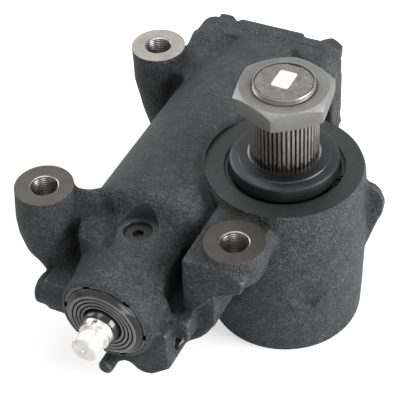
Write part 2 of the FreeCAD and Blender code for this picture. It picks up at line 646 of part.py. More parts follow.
def bearing_rollers(journal, z0, z1):
    rollers = []
    for k in range(ROLLER_COUNT):
        spot = polar(journal + ROLLER_RADIUS, 2 * math.pi * (k + 0.5) / ROLLER_COUNT)
        rollers.append(rod_z(ROLLER_RADIUS - FIT, z0 + 1.5, z1 - 1.5, spot.x, spot.y))
    return Part.makeCompound(rollers)


def upper_bearing_race():
    return bearing_race(JOURNAL_TOP, CHAMBER_TOP + FIT, -SEAL_BORE_DEPTH - 0.3)


def upper_bearing_rollers():
    return bearing_rollers(JOURNAL_TOP, CHAMBER_TOP, -SEAL_BORE_DEPTH)


def lower_bearing_race():
    return bearing_race(JOURNAL_LOW, SHAFT_BOTTOM + 2, HUB_TOP - FIT)


def lower_bearing_rollers():
    return bearing_rollers(JOURNAL_LOW, SHAFT_BOTTOM + 2, HUB_TOP)


def side_cover():
    """Dished bottom cover that carries the lower bearing in a tall hub."""
    back = SIDE_COVER_BACK
    inside = back + SIDE_COVER_THICKNESS
    race = RACE_LOW_RADIUS + FIT
    outline = [
        (SCREW_RADIUS + FIT, back + 10), (20, back + 10), (23, back), (SIDE_COVER_RADIUS, back),
        (SIDE_COVER_RADIUS, inside), (HUB_RADIUS + 4, inside), (HUB_RADIUS, inside + 4),
        (HUB_RADIUS, HUB_TOP), (race, HUB_TOP), (race, SHAFT_BOTTOM + 1.9),
        (JOURNAL_LOW + 2, SHAFT_BOTTOM + 1.9), (JOURNAL_LOW + 2, SHAFT_BOTTOM - 1),
        (SCREW_RADIUS + FIT, SHAFT_BOTTOM - 1),
    ]
    half = SEAL_HALF_WIDTH + FIT
    groove = ring_z(SIDE_COVER_RADIUS - SEAL_GROOVE_DEPTH, SIDE_COVER_RADIUS + 1,
                    SIDE_GROOVE - half, SIDE_GROOVE + half)
    return turned_z(outline).cut(groove)


def side_cover_seal():
    return turned_z(squeezed_section(SIDE_COVER_RADIUS - SEAL_GROOVE_DEPTH + FIT,
                                     SIDE_COVER_RADIUS, SIDE_GROOVE - SEAL_HALF_WIDTH,
                                     SIDE_GROOVE + SEAL_HALF_WIDTH))


def side_cover_ring():
    return open_ring(SIDE_COVER_RADIUS - 3.4, SIDE_COVER_RADIUS + 2.5, SIDE_COVER_BACK - 2.1,
                     SIDE_COVER_BACK - FIT, 6.0)


def adjusting_screw():
    """Screw that sets the sector's height, with a hexagon socket below."""
    end = SIDE_COVER_BACK - 1.5
    head = rod_z(SCREW_HEAD_RADIUS, SHAFT_BOTTOM + 4, SHAFT_BOTTOM + 9.4)
    shank = rod_z(SCREW_RADIUS, end, SHAFT_BOTTOM + 5)
    socket = hexagon(V(0, 0, end - 1), Z_AXIS, 7.0, 7.0)
    return head.fuse(shank).cut(socket)


def adjusting_screw_retainer():
    return ring_z(SCREW_RADIUS + LOOSE, SCREW_HEAD_RADIUS + 0.5 - FIT, SHAFT_BOTTOM,
                  SHAFT_BOTTOM + 3.7)


def adjusting_lock_nut():
    top = SIDE_COVER_BACK + 10 - FIT
    nut = crowned_hexagon(V(0, 0, top), Z_AXIS * -1, 24.0, 8.0, 1.5)
    return nut.cut(rod_z(SCREW_RADIUS + FIT, top - 12, top + 1))


# Rack piston
def rack_gaps():
    slope = math.tan(PRESSURE_ANGLE)
    deep = TOOTH_PITCH / 4 + BACKLASH / 2 - DEDENDUM * slope
    wide = GAP_HALF_AT_TIP + 8 * slope
    gaps = []
    for k in range(SECTOR_TEETH):
        y = (k - (SECTOR_TEETH - 1) / 2) * TOOTH_PITCH
        outline = [(CX + RACK_ROOT, y - deep), (CX + RACK_TIP + 8, y - wide),
                   (CX + RACK_TIP + 8, y + wide), (CX + RACK_ROOT, y + deep)]
        gaps.append(slab_xy(outline, CZ - BORE_RADIUS, CZ + BORE_RADIUS))
    return gaps


def clamp_screw_places():
    return [(TUBE_MIDDLE, CZ + side * (TUBE_RADIUS + 4.0)) for side in (-1, 1)]


def rack_piston():
    """Piston with the rack on its right, the ball nut inside and the tube pocket."""
    outline = [
        (TAIL_FRONT, 0), (TAIL_FRONT, TAIL_RADIUS - 1), (TAIL_FRONT + 1, TAIL_RADIUS),
        (RACK_FRONT, TAIL_RADIUS), (RACK_FRONT, PISTON_RADIUS - 1.5),
        (RACK_FRONT + 1.5, PISTON_RADIUS), (PISTON_BACK - 1.5, PISTON_RADIUS),
        (PISTON_BACK, PISTON_RADIUS - 1.5), (PISTON_BACK, 0),
    ]
    flat = box(CX + RACK_TIP, CX + BORE_RADIUS + 1, RACK_FRONT - 1, RACK_BACK, CZ - BORE_RADIUS,
               CZ + BORE_RADIUS)
    pocket = box(CX - BORE_RADIUS - 1, CX - POCKET_FLOOR, TRACK_START - 9, TRACK_END + 9,
                 CZ - POCKET_HALF, CZ + POCKET_HALF)
    cuts = rack_gaps() + [
        flat, pocket,
        ring_y(PISTON_RADIUS - SEAL_GROOVE_DEPTH, BORE_RADIUS + 1, SEAL_RING_Y,
               SEAL_RING_Y + SEAL_GROOVE_WIDTH),
        rod_y(NUT_BORE, TAIL_FRONT - 1, END_PLUG_Y),
        rod_y(END_PLUG_RADIUS + FIT, END_PLUG_Y - 1, PISTON_BACK + 1),
        screw_track(TRACK_TURNS, TRACK_START),
    ]
    for y in (TRACK_START, TRACK_END):
        cuts.append(rod_x(TUBE_RADIUS + FIT, CX - BORE_RADIUS, CX - BALL_CIRCLE, y, CZ))
    for y, z in clamp_screw_places():
        cuts.append(rod_x(1.95, CX - POCKET_FLOOR - 1, CX - POCKET_FLOOR + CLAMP_SCREW_DEPTH, y, z))
    return turned_y(outline).cut(Part.makeCompound(cuts))


def piston_seal_ring():
    return ring_y(PISTON_RADIUS - SEAL_GROOVE_DEPTH + FIT, BORE_RADIUS - 0.03,
                  SEAL_RING_Y + FIT, SEAL_RING_Y + SEAL_GROOVE_WIDTH - FIT)


def piston_end_plug():
    plug = rod_y(END_PLUG_RADIUS, END_PLUG_Y, PISTON_BACK - 1)
    socket_floor = V(CX, PISTON_BACK - END_PLUG_SOCKET_DEPTH, CZ)
    return plug.cut(hexagon(socket_floor, Y_AXIS, END_PLUG_FLATS, END_PLUG_SOCKET_DEPTH))


def recirculating_balls():
    balls = []
    turn = math.radians(60)
    while turn < TRACK_TURNS * 2 * math.pi - math.radians(50):
        y = TRACK_START + LEAD * turn / (2 * math.pi)
        x = CX - BALL_CIRCLE * math.cos(turn)
        z = CZ + BALL_CIRCLE * math.sin(turn)
        balls.append(Part.makeSphere(BALL_RADIUS, V(x, y, z)))
        turn += math.radians(BALL_STEP_DEG)
    return Part.makeCompound(balls)


def tube_along(radius):
    """Round bar along the return tube's U-shaped route."""
    inner = CX - BALL_CIRCLE - BALL_RADIUS - 2.0
    outer = CX - TUBE_SETTLE
    knee = outer + TUBE_BEND
    runs = [rod_y(radius, TRACK_START + TUBE_BEND, TRACK_END - TUBE_BEND, outer)]
    for end, side in ((TRACK_START, 1), (TRACK_END, -1)):
        runs.append(rod_x(radius, knee, inner, end, CZ))
        section = Part.Face(Part.Wire(Part.Circle(V(knee, end, CZ), X_AXIS, radius).toShape()))
        runs.append(section.revolve(V(knee, end + side * TUBE_BEND, CZ), Z_AXIS, -90 * side))
    return runs[0].multiFuse(runs[1:])


def ball_return_tube():
    return tube_along(TUBE_RADIUS).cut(tube_along(TUBE_BORE))


def ball_tube_clamp():
    """Saddle block that holds the return tube down in its pocket."""
    top = CX - TUBE_SETTLE - TUBE_RADIUS - 2.0
    block = box(top, CX - POCKET_FLOOR, TUBE_MIDDLE - 4.5, TUBE_MIDDLE + 4.5,
                CZ - POCKET_HALF + LOOSE, CZ + POCKET_HALF - LOOSE)
    saddle = rod_y(TUBE_RADIUS + FIT, TUBE_MIDDLE - 6, TUBE_MIDDLE + 6, CX - TUBE_SETTLE)
    floor = box(CX - TUBE_SETTLE, CX - POCKET_FLOOR + 1, TUBE_MIDDLE - 6, TUBE_MIDDLE + 6,
                CZ - TUBE_RADIUS - FIT, CZ + TUBE_RADIUS + FIT)
    cuts = [saddle, floor]
    for y, z in clamp_screw_places():
        cuts.append(rod_x(2.1, top - 1, CX - POCKET_FLOOR + 1, y, z))
        cuts.append(rod_x(3.4, top - 1, top + 3, y, z))
    return block.cut(Part.makeCompound(cuts))


def clamp_screws():
    top = CX - TUBE_SETTLE - TUBE_RADIUS - 2.0
    screws = []
    for y, z in clamp_screw_places():
        head = rod_x(3.2, top + 0.2, top + 3, y, z)
        head = head.cut(hexagon(V(top, y, z), X_AXIS, 2.5, 1.8))
        shank_end = CX - POCKET_FLOOR + CLAMP_SCREW_DEPTH - FIT
        screws.append(head.fuse(rod_x(1.9, top + 2, shank_end, y, z)))
    return Part.makeCompound(screws)


# Worm, valve and input shaft
def worm_shaft():
    """Worm with its ball groove, thrust collar and torsion bar socket."""
    groove_run = STROKE + GROOVE_SPARE
    thread_front = TRACK_START - groove_run - THREAD_END
    thread_back = TRACK_END + groove_run + THREAD_END
    collar = VALVE_BORE - 0.5
    outline = [
        (COLLAR_FRONT, 0), (COLLAR_FRONT, collar), (COLLAR_BACK, collar), (COLLAR_BACK, WORM_NECK),
        (thread_front, WORM_NECK), (thread_front, WORM_RADIUS), (thread_back - 2, WORM_RADIUS),
        (thread_back, WORM_RADIUS - 2), (thread_back, 0),
    ]
    groove = screw_track(TRACK_TURNS + 2 * groove_run / LEAD, TRACK_START - groove_run)
    socket = rod_y(TORSION_END_RADIUS + FIT, COLLAR_FRONT - 1, BAR_BACK + 1)
    pin_hole = rod_z(PIN_RADIUS + FIT, CZ - VALVE_BORE, CZ + VALVE_BORE, CX, DRIVE_PIN_Y)
    return turned_y(outline).cut(groove).cut(socket).cut(pin_hole)


def torsion_bar():
    """Slender bar with thick ends, pinned in the worm and in the input shaft."""
    outline = [
        (BAR_FRONT, 0), (BAR_FRONT, TORSION_END_RADIUS), (BAR_FRONT + 14, TORSION_END_RADIUS),
        (BAR_FRONT + 17, TORSION_RADIUS), (BAR_BACK - 17, TORSION_RADIUS),
        (BAR_BACK - 14, TORSION_END_RADIUS), (BAR_BACK, TORSION_END_RADIUS), (BAR_BACK, 0),
    ]
    drive_hole = rod_z(PIN_RADIUS + FIT, CZ - 6, CZ + 6, CX, DRIVE_PIN_Y)
    input_hole = rod_z(PIN_RADIUS + 0.5, CZ - 6, CZ + 6, CX, INPUT_PIN_Y)
    return turned_y(outline).cut(Part.makeCompound([drive_hole, input_hole]))


def worm_drive_pin():
    return rod_z(PIN_RADIUS, CZ - WORM_NECK + 0.5, CZ + WORM_NECK - 0.5, CX, DRIVE_PIN_Y)


def input_shaft_pin():
    return rod_z(PIN_RADIUS, CZ - INPUT_COLLAR + 0.3, CZ + INPUT_COLLAR - 0.3, CX, INPUT_PIN_Y)


def sleeve_grooves(depth_radius):
    """Ring grooves for the sleeve's four seal rings."""
    step = SLEEVE_LENGTH / 4
    return [(SLEEVE_FRONT + step * k + 2.0, depth_radius) for k in range(4)]


def valve_sleeve():
    sleeve = ring_y(ROTOR_RADIUS + FIT, VALVE_BORE - FIT, SLEEVE_FRONT, COLLAR_FRONT)
    cuts = [ring_y(radius, VALVE_BORE + 1, y, y + SLEEVE_RING_WIDTH)
            for y, radius in sleeve_grooves(VALVE_BORE - 2.0)]
    middle = SLEEVE_FRONT + SLEEVE_LENGTH * 0.62
    for k in range(6):
        turn = math.radians(60 * k)
        aim = V(math.cos(turn), 0, math.sin(turn))
        cuts.append(rod(1.8, V(CX, middle, CZ) + aim * (ROTOR_RADIUS - 2),
                        V(CX, middle, CZ) + aim * (VALVE_BORE + 2)))
    return sleeve.cut(Part.makeCompound(cuts))


def valve_sleeve_rings():
    rings = [ring_y(radius + FIT, VALVE_BORE - 0.03, y + FIT, y + SLEEVE_RING_WIDTH - FIT)
             for y, radius in sleeve_grooves(VALVE_BORE - 2.0)]
    return Part.makeCompound(rings)


def input_shaft():
    """Stub with serrations and a groove outside, slotted valve rotor inside."""
    outline = [
        (STUB_TIP, 0), (STUB_TIP, STUB_RADIUS - 2.4), (STUB_TIP + 1.6, STUB_RADIUS - 0.7),
        (STUB_SERRATED, STUB_RADIUS - 0.7), (STUB_SERRATED, STUB_RADIUS - 1.9),
        (STUB_SERRATED + 3, STUB_RADIUS - 1.9), (STUB_SERRATED + 4, INPUT_COLLAR),
        (BOOT_NOSE - 1, INPUT_COLLAR), (BOOT_NOSE, INPUT_SEAL_RADIUS),
        (SLEEVE_FRONT - THRUST_THICKNESS - 1, INPUT_SEAL_RADIUS), (SLEEVE_FRONT - 3, ROTOR_RADIUS),
        (COLLAR_FRONT - LOOSE, ROTOR_RADIUS), (COLLAR_FRONT - LOOSE, 0),
    ]
    serrations = serrated_rod(STUB_RADIUS, 0.7, 36, STUB_SERRATED - STUB_TIP - 1.6)
    serrations.rotate(V(0, 0, 0), X_AXIS, -90)
    serrations.translate(V(CX, STUB_TIP + 1.6, CZ))
    cuts = [
        rod_y(TORSION_END_RADIUS + FIT, BAR_FRONT - 1, COLLAR_FRONT),
        rod_z(PIN_RADIUS + FIT, CZ - 20, CZ + 20, CX, INPUT_PIN_Y),
    ]
    for k in range(6):
        slot = box(-2, 2, SLEEVE_FRONT + 4, COLLAR_FRONT - 5, ROTOR_RADIUS - 2, ROTOR_RADIUS + 1)
        slot.rotate(V(0, 0, 0), Y_AXIS, 60 * k)
        slot.translate(V(CX, 0, CZ))
        cuts.append(slot)
    return turned_y(outline).fuse(serrations).cut(Part.makeCompound(cuts))


def thrust_bearing(y0):
    return ring_y(WORM_NECK + 1.5, VALVE_BORE - FIT, y0 + FIT, y0 + THRUST_THICKNESS - FIT)


def worm_thrust_bearing_inner():
    return thrust_bearing(COLLAR_BACK)


def worm_thrust_bearing_outer():
    return thrust_bearing(ADJUSTER_BACK)


def valve_adjusting_ring():
    """Threaded ring that sets the thrust bearings and holds the input seal."""
    outer = ADJUSTER_BORE - FIT
    outline = [
        (ADJUSTER_FRONT, INPUT_SEAL_OUTER + FIT), (ADJUSTER_FRONT, outer), (ADJUSTER_BACK, outer),
        (ADJUSTER_BACK, INPUT_RACE_OUTER + FIT), (ADJUSTER_BACK - 6, INPUT_RACE_OUTER + FIT),
        (ADJUSTER_BACK - 6, INPUT_SEAL_RADIUS + 1), (ADJUSTER_FRONT + 6, INPUT_SEAL_RADIUS + 1),
        (ADJUSTER_FRONT + 6, INPUT_SEAL_OUTER + FIT),
    ]
    return turned_y(outline)


def input_bearing():
    return ring_y(INPUT_SEAL_RADIUS + FIT, INPUT_RACE_OUTER, ADJUSTER_BACK - 5.8,
                  ADJUSTER_BACK - 1.5)


def input_shaft_seal():
    inner = INPUT_SEAL_RADIUS + FIT
    front = ADJUSTER_FRONT + 0.2
    return turned_y([(front, inner + 2), (front, INPUT_SEAL_OUTER), (front + 5.6, INPUT_SEAL_OUTER),
                     (front + 5.6, INPUT_SEAL_OUTER - 1.5), (front + 2, INPUT_SEAL_OUTER - 1.5),
                     (front + 2, inner + 2.5), (front + 5, inner + 1.2), (front + 3.4, inner)])


def input_dust_boot():
    """Ribbed rubber boot that grips the input shaft in front of the seal."""
    hub = INPUT_SEAL_RADIUS + FIT
    rim = ADJUSTER_BORE - LOOSE
    skin = 1.6
    first = hub + 5.0
    pitch = (rim - 2.4 - first) / BOOT_RIBS
    front = [(BOOT_NOSE, hub + 1.6), (VALVE_FACE - 2, hub + 3.0), (BOOT_FLOOR, first - 1)]
    for k in range(BOOT_RIBS):
        front.append((BOOT_FLOOR, first + pitch * (k + 0.15)))
        front.append((BOOT_FLOOR - 2.0, first + pitch * (k + 0.5)))
        front.append((BOOT_FLOOR, first + pitch * (k + 0.85)))
    front += [(BOOT_FLOOR, rim - 1.8), (VALVE_FACE + 0.4, rim - 1.2), (VALVE_FACE + 0.4, rim)]
    back = [(BOOT_FLOOR + skin, rim), (BOOT_FLOOR + skin, hub)]
    return turned_y([(BOOT_NOSE, hub)] + front + back)


def port_plug():
    """Plug sunk in its boss, with a hexagon socket."""
    top = PLUG_FACE - 3.0
    plug = rod_z(PLUG_RADIUS - FIT, PLUG_FLOOR + FIT, top, CX, PLUG_Y)
    return plug.cut(hexagon(V(CX, PLUG_Y, top + 1), Z_AXIS * -1, 8.0, 4.5))


NODES = {
    "gear_housing": gear_housing,
    "rear_end_cover": rear_end_cover,
    "end_cover_bolts": end_cover_bolts,
    "end_cover_seal": end_cover_seal,
    "sector_shaft": sector_shaft,
    "pitman_nut": pitman_nut,
    "dust_shield": dust_shield,
    "output_shaft_seal": output_shaft_seal,
    "output_snap_ring": output_snap_ring,
    "upper_bearing_race": upper_bearing_race,
    "upper_bearing_rollers": upper_bearing_rollers,
    "lower_bearing_race": lower_bearing_race,
    "lower_bearing_rollers": lower_bearing_rollers,
    "side_cover": side_cover,
    "side_cover_seal": side_cover_seal,
    "side_cover_ring": side_cover_ring,
    "adjusting_screw": adjusting_screw,
    "adjusting_screw_retainer": adjusting_screw_retainer,
    "adjusting_lock_nut": adjusting_lock_nut,
    "rack_piston": rack_piston,
    "piston_seal_ring": piston_seal_ring,
    "piston_end_plug": piston_end_plug,
    "recirculating_balls": recirculating_balls,
    "ball_return_tube": ball_return_tube,
    "ball_tube_clamp": ball_tube_clamp,
    "clamp_screws": clamp_screws,
    "worm_shaft": worm_shaft,
    "torsion_bar": torsion_bar,
    "worm_drive_pin": worm_drive_pin,
    "valve_sleeve": valve_sleeve,
    "valve_sleeve_rings": valve_sleeve_rings,
    "worm_thrust_bearing_inner": worm_thrust_bearing_inner,
    "worm_thrust_bearing_outer": worm_thrust_bearing_outer,
    "valve_adjusting_ring": valve_adjusting_ring,
    "input_shaft": input_shaft,
    "input_shaft_pin": input_shaft_pin,
    "input_bearing": input_bearing,
    "input_shaft_seal": input_shaft_seal,
    "input_dust_boot": input_dust_boot,
    "port_plug": port_plug,
}


def main():
    os.makedirs("parts", exist_ok=True)
    for name, make in NODES.items():
        shape = make()
        shape.exportStep("parts/" + name + ".step")


main()
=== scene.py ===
import json
import math
import bmesh
import bpy
import numpy as np
import openvdb
from mathutils import Matrix, Vector

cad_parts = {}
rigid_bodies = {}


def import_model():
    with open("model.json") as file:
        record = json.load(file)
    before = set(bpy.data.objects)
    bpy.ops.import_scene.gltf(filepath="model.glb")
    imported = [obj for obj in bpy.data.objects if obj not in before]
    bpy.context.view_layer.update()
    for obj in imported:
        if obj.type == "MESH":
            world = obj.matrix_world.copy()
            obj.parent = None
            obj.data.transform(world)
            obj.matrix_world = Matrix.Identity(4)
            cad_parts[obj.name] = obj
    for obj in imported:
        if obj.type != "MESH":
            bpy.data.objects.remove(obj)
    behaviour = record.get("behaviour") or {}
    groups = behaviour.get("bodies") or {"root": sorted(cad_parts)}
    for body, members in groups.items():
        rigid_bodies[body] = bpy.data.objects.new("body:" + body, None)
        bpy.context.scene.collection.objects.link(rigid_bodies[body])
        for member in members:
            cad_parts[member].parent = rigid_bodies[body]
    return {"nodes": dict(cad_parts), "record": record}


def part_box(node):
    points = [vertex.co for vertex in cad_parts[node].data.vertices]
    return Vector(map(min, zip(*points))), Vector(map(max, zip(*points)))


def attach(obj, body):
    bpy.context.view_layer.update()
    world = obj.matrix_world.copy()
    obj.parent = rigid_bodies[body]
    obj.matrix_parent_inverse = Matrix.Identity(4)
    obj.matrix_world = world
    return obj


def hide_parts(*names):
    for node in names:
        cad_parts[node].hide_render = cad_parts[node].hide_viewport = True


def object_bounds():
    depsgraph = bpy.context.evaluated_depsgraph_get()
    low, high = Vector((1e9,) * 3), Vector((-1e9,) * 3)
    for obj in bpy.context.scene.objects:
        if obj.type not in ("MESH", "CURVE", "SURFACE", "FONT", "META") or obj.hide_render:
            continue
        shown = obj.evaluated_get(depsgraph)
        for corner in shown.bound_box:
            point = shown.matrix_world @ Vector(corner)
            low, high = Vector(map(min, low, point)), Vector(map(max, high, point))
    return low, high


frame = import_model()
nodes = frame["nodes"]
cad_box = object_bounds()
MM = 0.001


def mm(*values):
    return tuple(v * MM for v in values)


# Places that the frame gives, in millimetres
def node_box(name):
    low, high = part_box(name)
    return [v / MM for v in low], [v / MM for v in high]


mounts = {m["name"]: m for m in frame["record"]["mounts"]}


def mount_place(name):
    return [v / MM for v in mounts[name]["pos_m"]]


def half_width(name):
    low, high = node_box(name)
    return (high[0] - low[0]) / 2


side_low, side_high = node_box("side_cover")
plug_low, plug_high = node_box("port_plug")
adjuster_low, adjuster_high = node_box("valve_adjusting_ring")
nut_low, nut_high = node_box("pitman_nut")
seal_low, seal_high = node_box("end_cover_seal")
SHAFT_TOP = node_box("sector_shaft")[1][2]
SHIELD_LOW = node_box("dust_shield")[0][2]
STUB_TIP = node_box("input_shaft")[0][1]
REAR_FACE = node_box("gear_housing")[1][1]

CYL_X = (seal_low[0] + seal_high[0]) / 2
CYL_Z = (seal_low[2] + seal_high[2]) / 2
AXIS_Y = (CYL_X, 0, CYL_Z)
UPRIGHT = (0, 0, 0)
FIT = 0.05
BORE = half_width("end_cover_seal")
RING_INSET = 6.0
VALVE_FACE = adjuster_low[1] - RING_INSET
VALVE_MOUTH = 33.0
VALVE_BORE = half_width("worm_thrust_bearing_inner") + FIT
WEB_FRONT = node_box("worm_thrust_bearing_inner")[1][1] + FIT
BOSS_R = 22.0
SIDE_R = half_width("side_cover") + FIT
RING_FACE_R = SIDE_R + 4.55
RACE_R = half_width("upper_bearing_race") + FIT
SEAL_BORE_R = half_width("output_shaft_seal") + FIT
HOLE_NAMES = ("boss_hole_rear", "boss_hole_front", "boss_hole_right")
BOSSES = [mount_place(n)[:2] for n in HOLE_NAMES]
THREAD_R = mounts["boss_hole_rear"]["dims"]["r_mm"]
PLUG_AT = ((plug_low[0] + plug_high[0]) / 2, (plug_low[1] + plug_high[1]) / 2, 0)
PLUG_FACE = plug_high[2] + 3.0

LENS = 122.17
CAMERA_PLACE = (295.76, -693.52, 656.62)
CAMERA_TURN = (27.94, 42.46, -3.63)      # azimuth, elevation and roll in degrees
SKY_LIGHT = 0.16
GLOSSY_SHARE = 0.85                      # how white the sky is in reflections
FLOOR_HALF = 4.0
FLOOR_GREY = 0.80
FLOOR_GLOW = 0.55


# Camera and light
def added(name, data):
    thing = bpy.data.objects.new(name, data)
    bpy.context.collection.objects.link(thing)
    return thing


def look_matrix(place, azimuth, elevation, roll):
    a, e, r = (math.radians(v) for v in (azimuth, elevation, roll))
    forward = Vector((-math.sin(a) * math.cos(e), math.cos(a) * math.cos(e), -math.sin(e)))
    right = Vector((math.cos(a), math.sin(a), 0))
    up = right.cross(forward)
    right_r = right * math.cos(r) + up * math.sin(r)
    up_r = up * math.cos(r) - right * math.sin(r)
    turn = Matrix((right_r, up_r, -forward)).transposed().to_4x4()
    return Matrix.Translation(place) @ turn


def make_camera():
    data = bpy.data.cameras.new("camera")
    data.lens = LENS
    data.sensor_width = 36
    data.clip_start = 0.05
    data.clip_end = 20
    camera = added("camera", data)
    camera.matrix_world = look_matrix(mm(*CAMERA_PLACE), *CAMERA_TURN)
    bpy.context.scene.camera = camera


def area_light(name, place, target, size, power):
    data = bpy.data.lights.new(name, "AREA")
    data.size = size
    data.energy = power
    lamp = added(name, data)
    lamp.location = place
    aim = Vector(target) - Vector(place)
    lamp.rotation_mode = "QUATERNION"
    lamp.rotation_quaternion = aim.to_track_quat("-Z", "Y")


def white_for_camera(tree, dim):
    """Strength of one where the sky is seen, and dim where it lights."""
    rays = tree.nodes.new("ShaderNodeLightPath").outputs
    seen = math_of(tree, "MAXIMUM", rays["Is Camera Ray"], rays["Is Transmission Ray"])
    glossy = math_of(tree, "MULTIPLY", rays["Is Glossy Ray"], GLOSSY_SHARE)
    return range_of(tree, math_of(tree, "MAXIMUM", seen, glossy), dim, 1.0, 0.0, 1.0)


def make_world():
    world = bpy.data.worlds.new("studio")
    bpy.context.scene.world = world
    world.use_nodes = True
    tree = world.node_tree
    background = tree.nodes["Background"]
    background.inputs["Color"].default_value = (1, 1, 1, 1)
    tree.links.new(white_for_camera(tree, SKY_LIGHT), background.inputs["Strength"])


def make_floor():
    mesh = bpy.data.meshes.new("floor")
    z = min(side_low[2] * MM - 0.007, cad_box[0].z - 0.0005)
    corners = [(x * FLOOR_HALF, y * FLOOR_HALF, z) for x, y in ((-1, -1), (1, -1), (1, 1), (-1, 1))]
    mesh.from_pydata(corners, [], [(0, 1, 2, 3)])
    floor = added("floor", mesh)
    material, tree, shader = shader_of("studio_floor")
    shader.inputs["Base Color"].default_value = (FLOOR_GREY,) * 3 + (1,)
    shader.inputs["Roughness"].default_value = 0.9
    shader.inputs["Specular IOR Level"].default_value = 0.0
    glow = tree.nodes.new("ShaderNodeEmission")
    glow.inputs["Color"].default_value = (1, 1, 1, 1)
    rays = tree.nodes.new("ShaderNodeLightPath").outputs
    tree.links.new(math_of(tree, "MULTIPLY", rays["Is Camera Ray"], FLOOR_GLOW),
                   glow.inputs["Strength"])
    both = tree.nodes.new("ShaderNodeAddShader")
    tree.links.new(shader.outputs[0], both.inputs[0])
    tree.links.new(glow.outputs[0], both.inputs[1])
    tree.links.new(both.outputs[0], tree.nodes["Material Output"].inputs["Surface"])
    mesh.materials.append(material)


# Materials
def shader_of(name):
    material = bpy.data.materials.new(name)
    material.use_nodes = True
    tree = material.node_tree
    return material, tree, tree.nodes["Principled BSDF"]


def feed(tree, value, socket):
    """Links a value that is a socket, or sets a plain one."""
    if isinstance(value, bpy.types.NodeSocket):
        tree.links.new(value, socket)
    else:
        socket.default_value = value


def math_of(tree, operation, *values):
    node = tree.nodes.new("ShaderNodeMath")
    node.operation = operation
    for value, socket in zip(values, node.inputs):
        feed(tree, value, socket)
    return node.outputs[0]


def length_of(tree, vector):
    node = tree.nodes.new("ShaderNodeVectorMath")
    node.operation = "LENGTH"
    tree.links.new(vector, node.inputs[0])
    return node.outputs["Value"]


def height_of(tree, vector):
    node = tree.nodes.new("ShaderNodeSeparateXYZ")
    tree.links.new(vector, node.inputs[0])
    return node.outputs["Z"]


def object_place(tree, centre=(0, 0, 0), stretch=(1, 1, 1)):
    coordinates = tree.nodes.new("ShaderNodeTexCoord")
    mapping = tree.nodes.new("ShaderNodeMapping")
    mapping.inputs["Location"].default_value = [-c * MM * s for c, s in zip(centre, stretch)]
    mapping.inputs["Scale"].default_value = stretch
    tree.links.new(coordinates.outputs["Object"], mapping.inputs["Vector"])
    return mapping.outputs["Vector"]


def noise_of(tree, place, feature_mm, detail=3.0, rough=0.55, distortion=0.0):
    node = tree.nodes.new("ShaderNodeTexNoise")
    node.inputs["Scale"].default_value = 1.0 / (feature_mm * MM)
    node.inputs["Detail"].default_value = detail
    node.inputs["Roughness"].default_value = rough
    node.inputs["Distortion"].default_value = distortion
    tree.links.new(place, node.inputs["Vector"])
    return node.outputs["Fac"]


def ramp_of(tree, value, stops):
    node = tree.nodes.new("ShaderNodeValToRGB")
    ramp = node.color_ramp
    while len(ramp.elements) < len(stops):
        ramp.elements.new(0.5)
    for element, (at, colour) in zip(ramp.elements, stops):
        element.position = at
        element.color = (*colour, 1) if len(colour) == 3 else colour
    tree.links.new(value, node.inputs["Fac"])
    return node.outputs["Color"]


def range_of(tree, value, low, high, start=0.3, end=0.7):
    node = tree.nodes.new("ShaderNodeMapRange")
    node.inputs["From Min"].default_value = start
    node.inputs["From Max"].default_value = end
    node.inputs["To Min"].default_value = low
    node.inputs["To Max"].default_value = high
    tree.links.new(value, node.inputs["Value"])
    return node.outputs[0]


def bump_of(tree, shader, heights):
    """Chains bumps given as (height value, distance in millimetres)."""
    last = None
    for height, distance in heights:
        node = tree.nodes.new("ShaderNodeBump")
        node.inputs["Distance"].default_value = distance * MM
        node.inputs["Strength"].default_value = 1.0
        tree.links.new(height, node.inputs["Height"])
        if last:
            tree.links.new(last, node.inputs["Normal"])
        last = node.outputs["Normal"]
    tree.links.new(last, shader.inputs["Normal"])


def grey(level, warm=0.0):
    """Linear grey of an sRGB level 0 to 255, warmer above zero."""
    c = level / 255
    linear = ((c + 0.055) / 1.055) ** 2.4
    return (linear * (1 + warm), linear, linear * (1 - warm))


def mix_of(tree, share, first, second, blend="MIX"):
    """Mixes two colours, each a socket or a plain colour, by a share that is a socket or number."""
    node = tree.nodes.new("ShaderNodeMix")
    node.data_type = "RGBA"
    node.blend_type = blend
    for slot, value in ((0, share), (6, first), (7, second)):
        feed(tree, (*value, 1) if isinstance(value, tuple) else value, node.inputs[slot])
    return node.outputs[2]


def shades(tree, value, low, high, warm=0.0):
    return ramp_of(tree, value, [(0.3, grey(low, warm)), (0.7, grey(high, warm))])


def multiplied(tree, colour, value, stops):
    levels = ramp_of(tree, value, [(at, (level,) * 3) for at, level in stops])
    return mix_of(tree, 1.0, colour, levels, "MULTIPLY")


def dress(tree, shader, colour, roughness, bumps, metallic=0.0, specular=0.5):
    tree.links.new(colour, shader.inputs["Base Color"])
    tree.links.new(roughness, shader.inputs["Roughness"])
    feed(tree, metallic, shader.inputs["Metallic"])
    shader.inputs["Specular IOR Level"].default_value = specular
    bump_of(tree, shader, bumps)


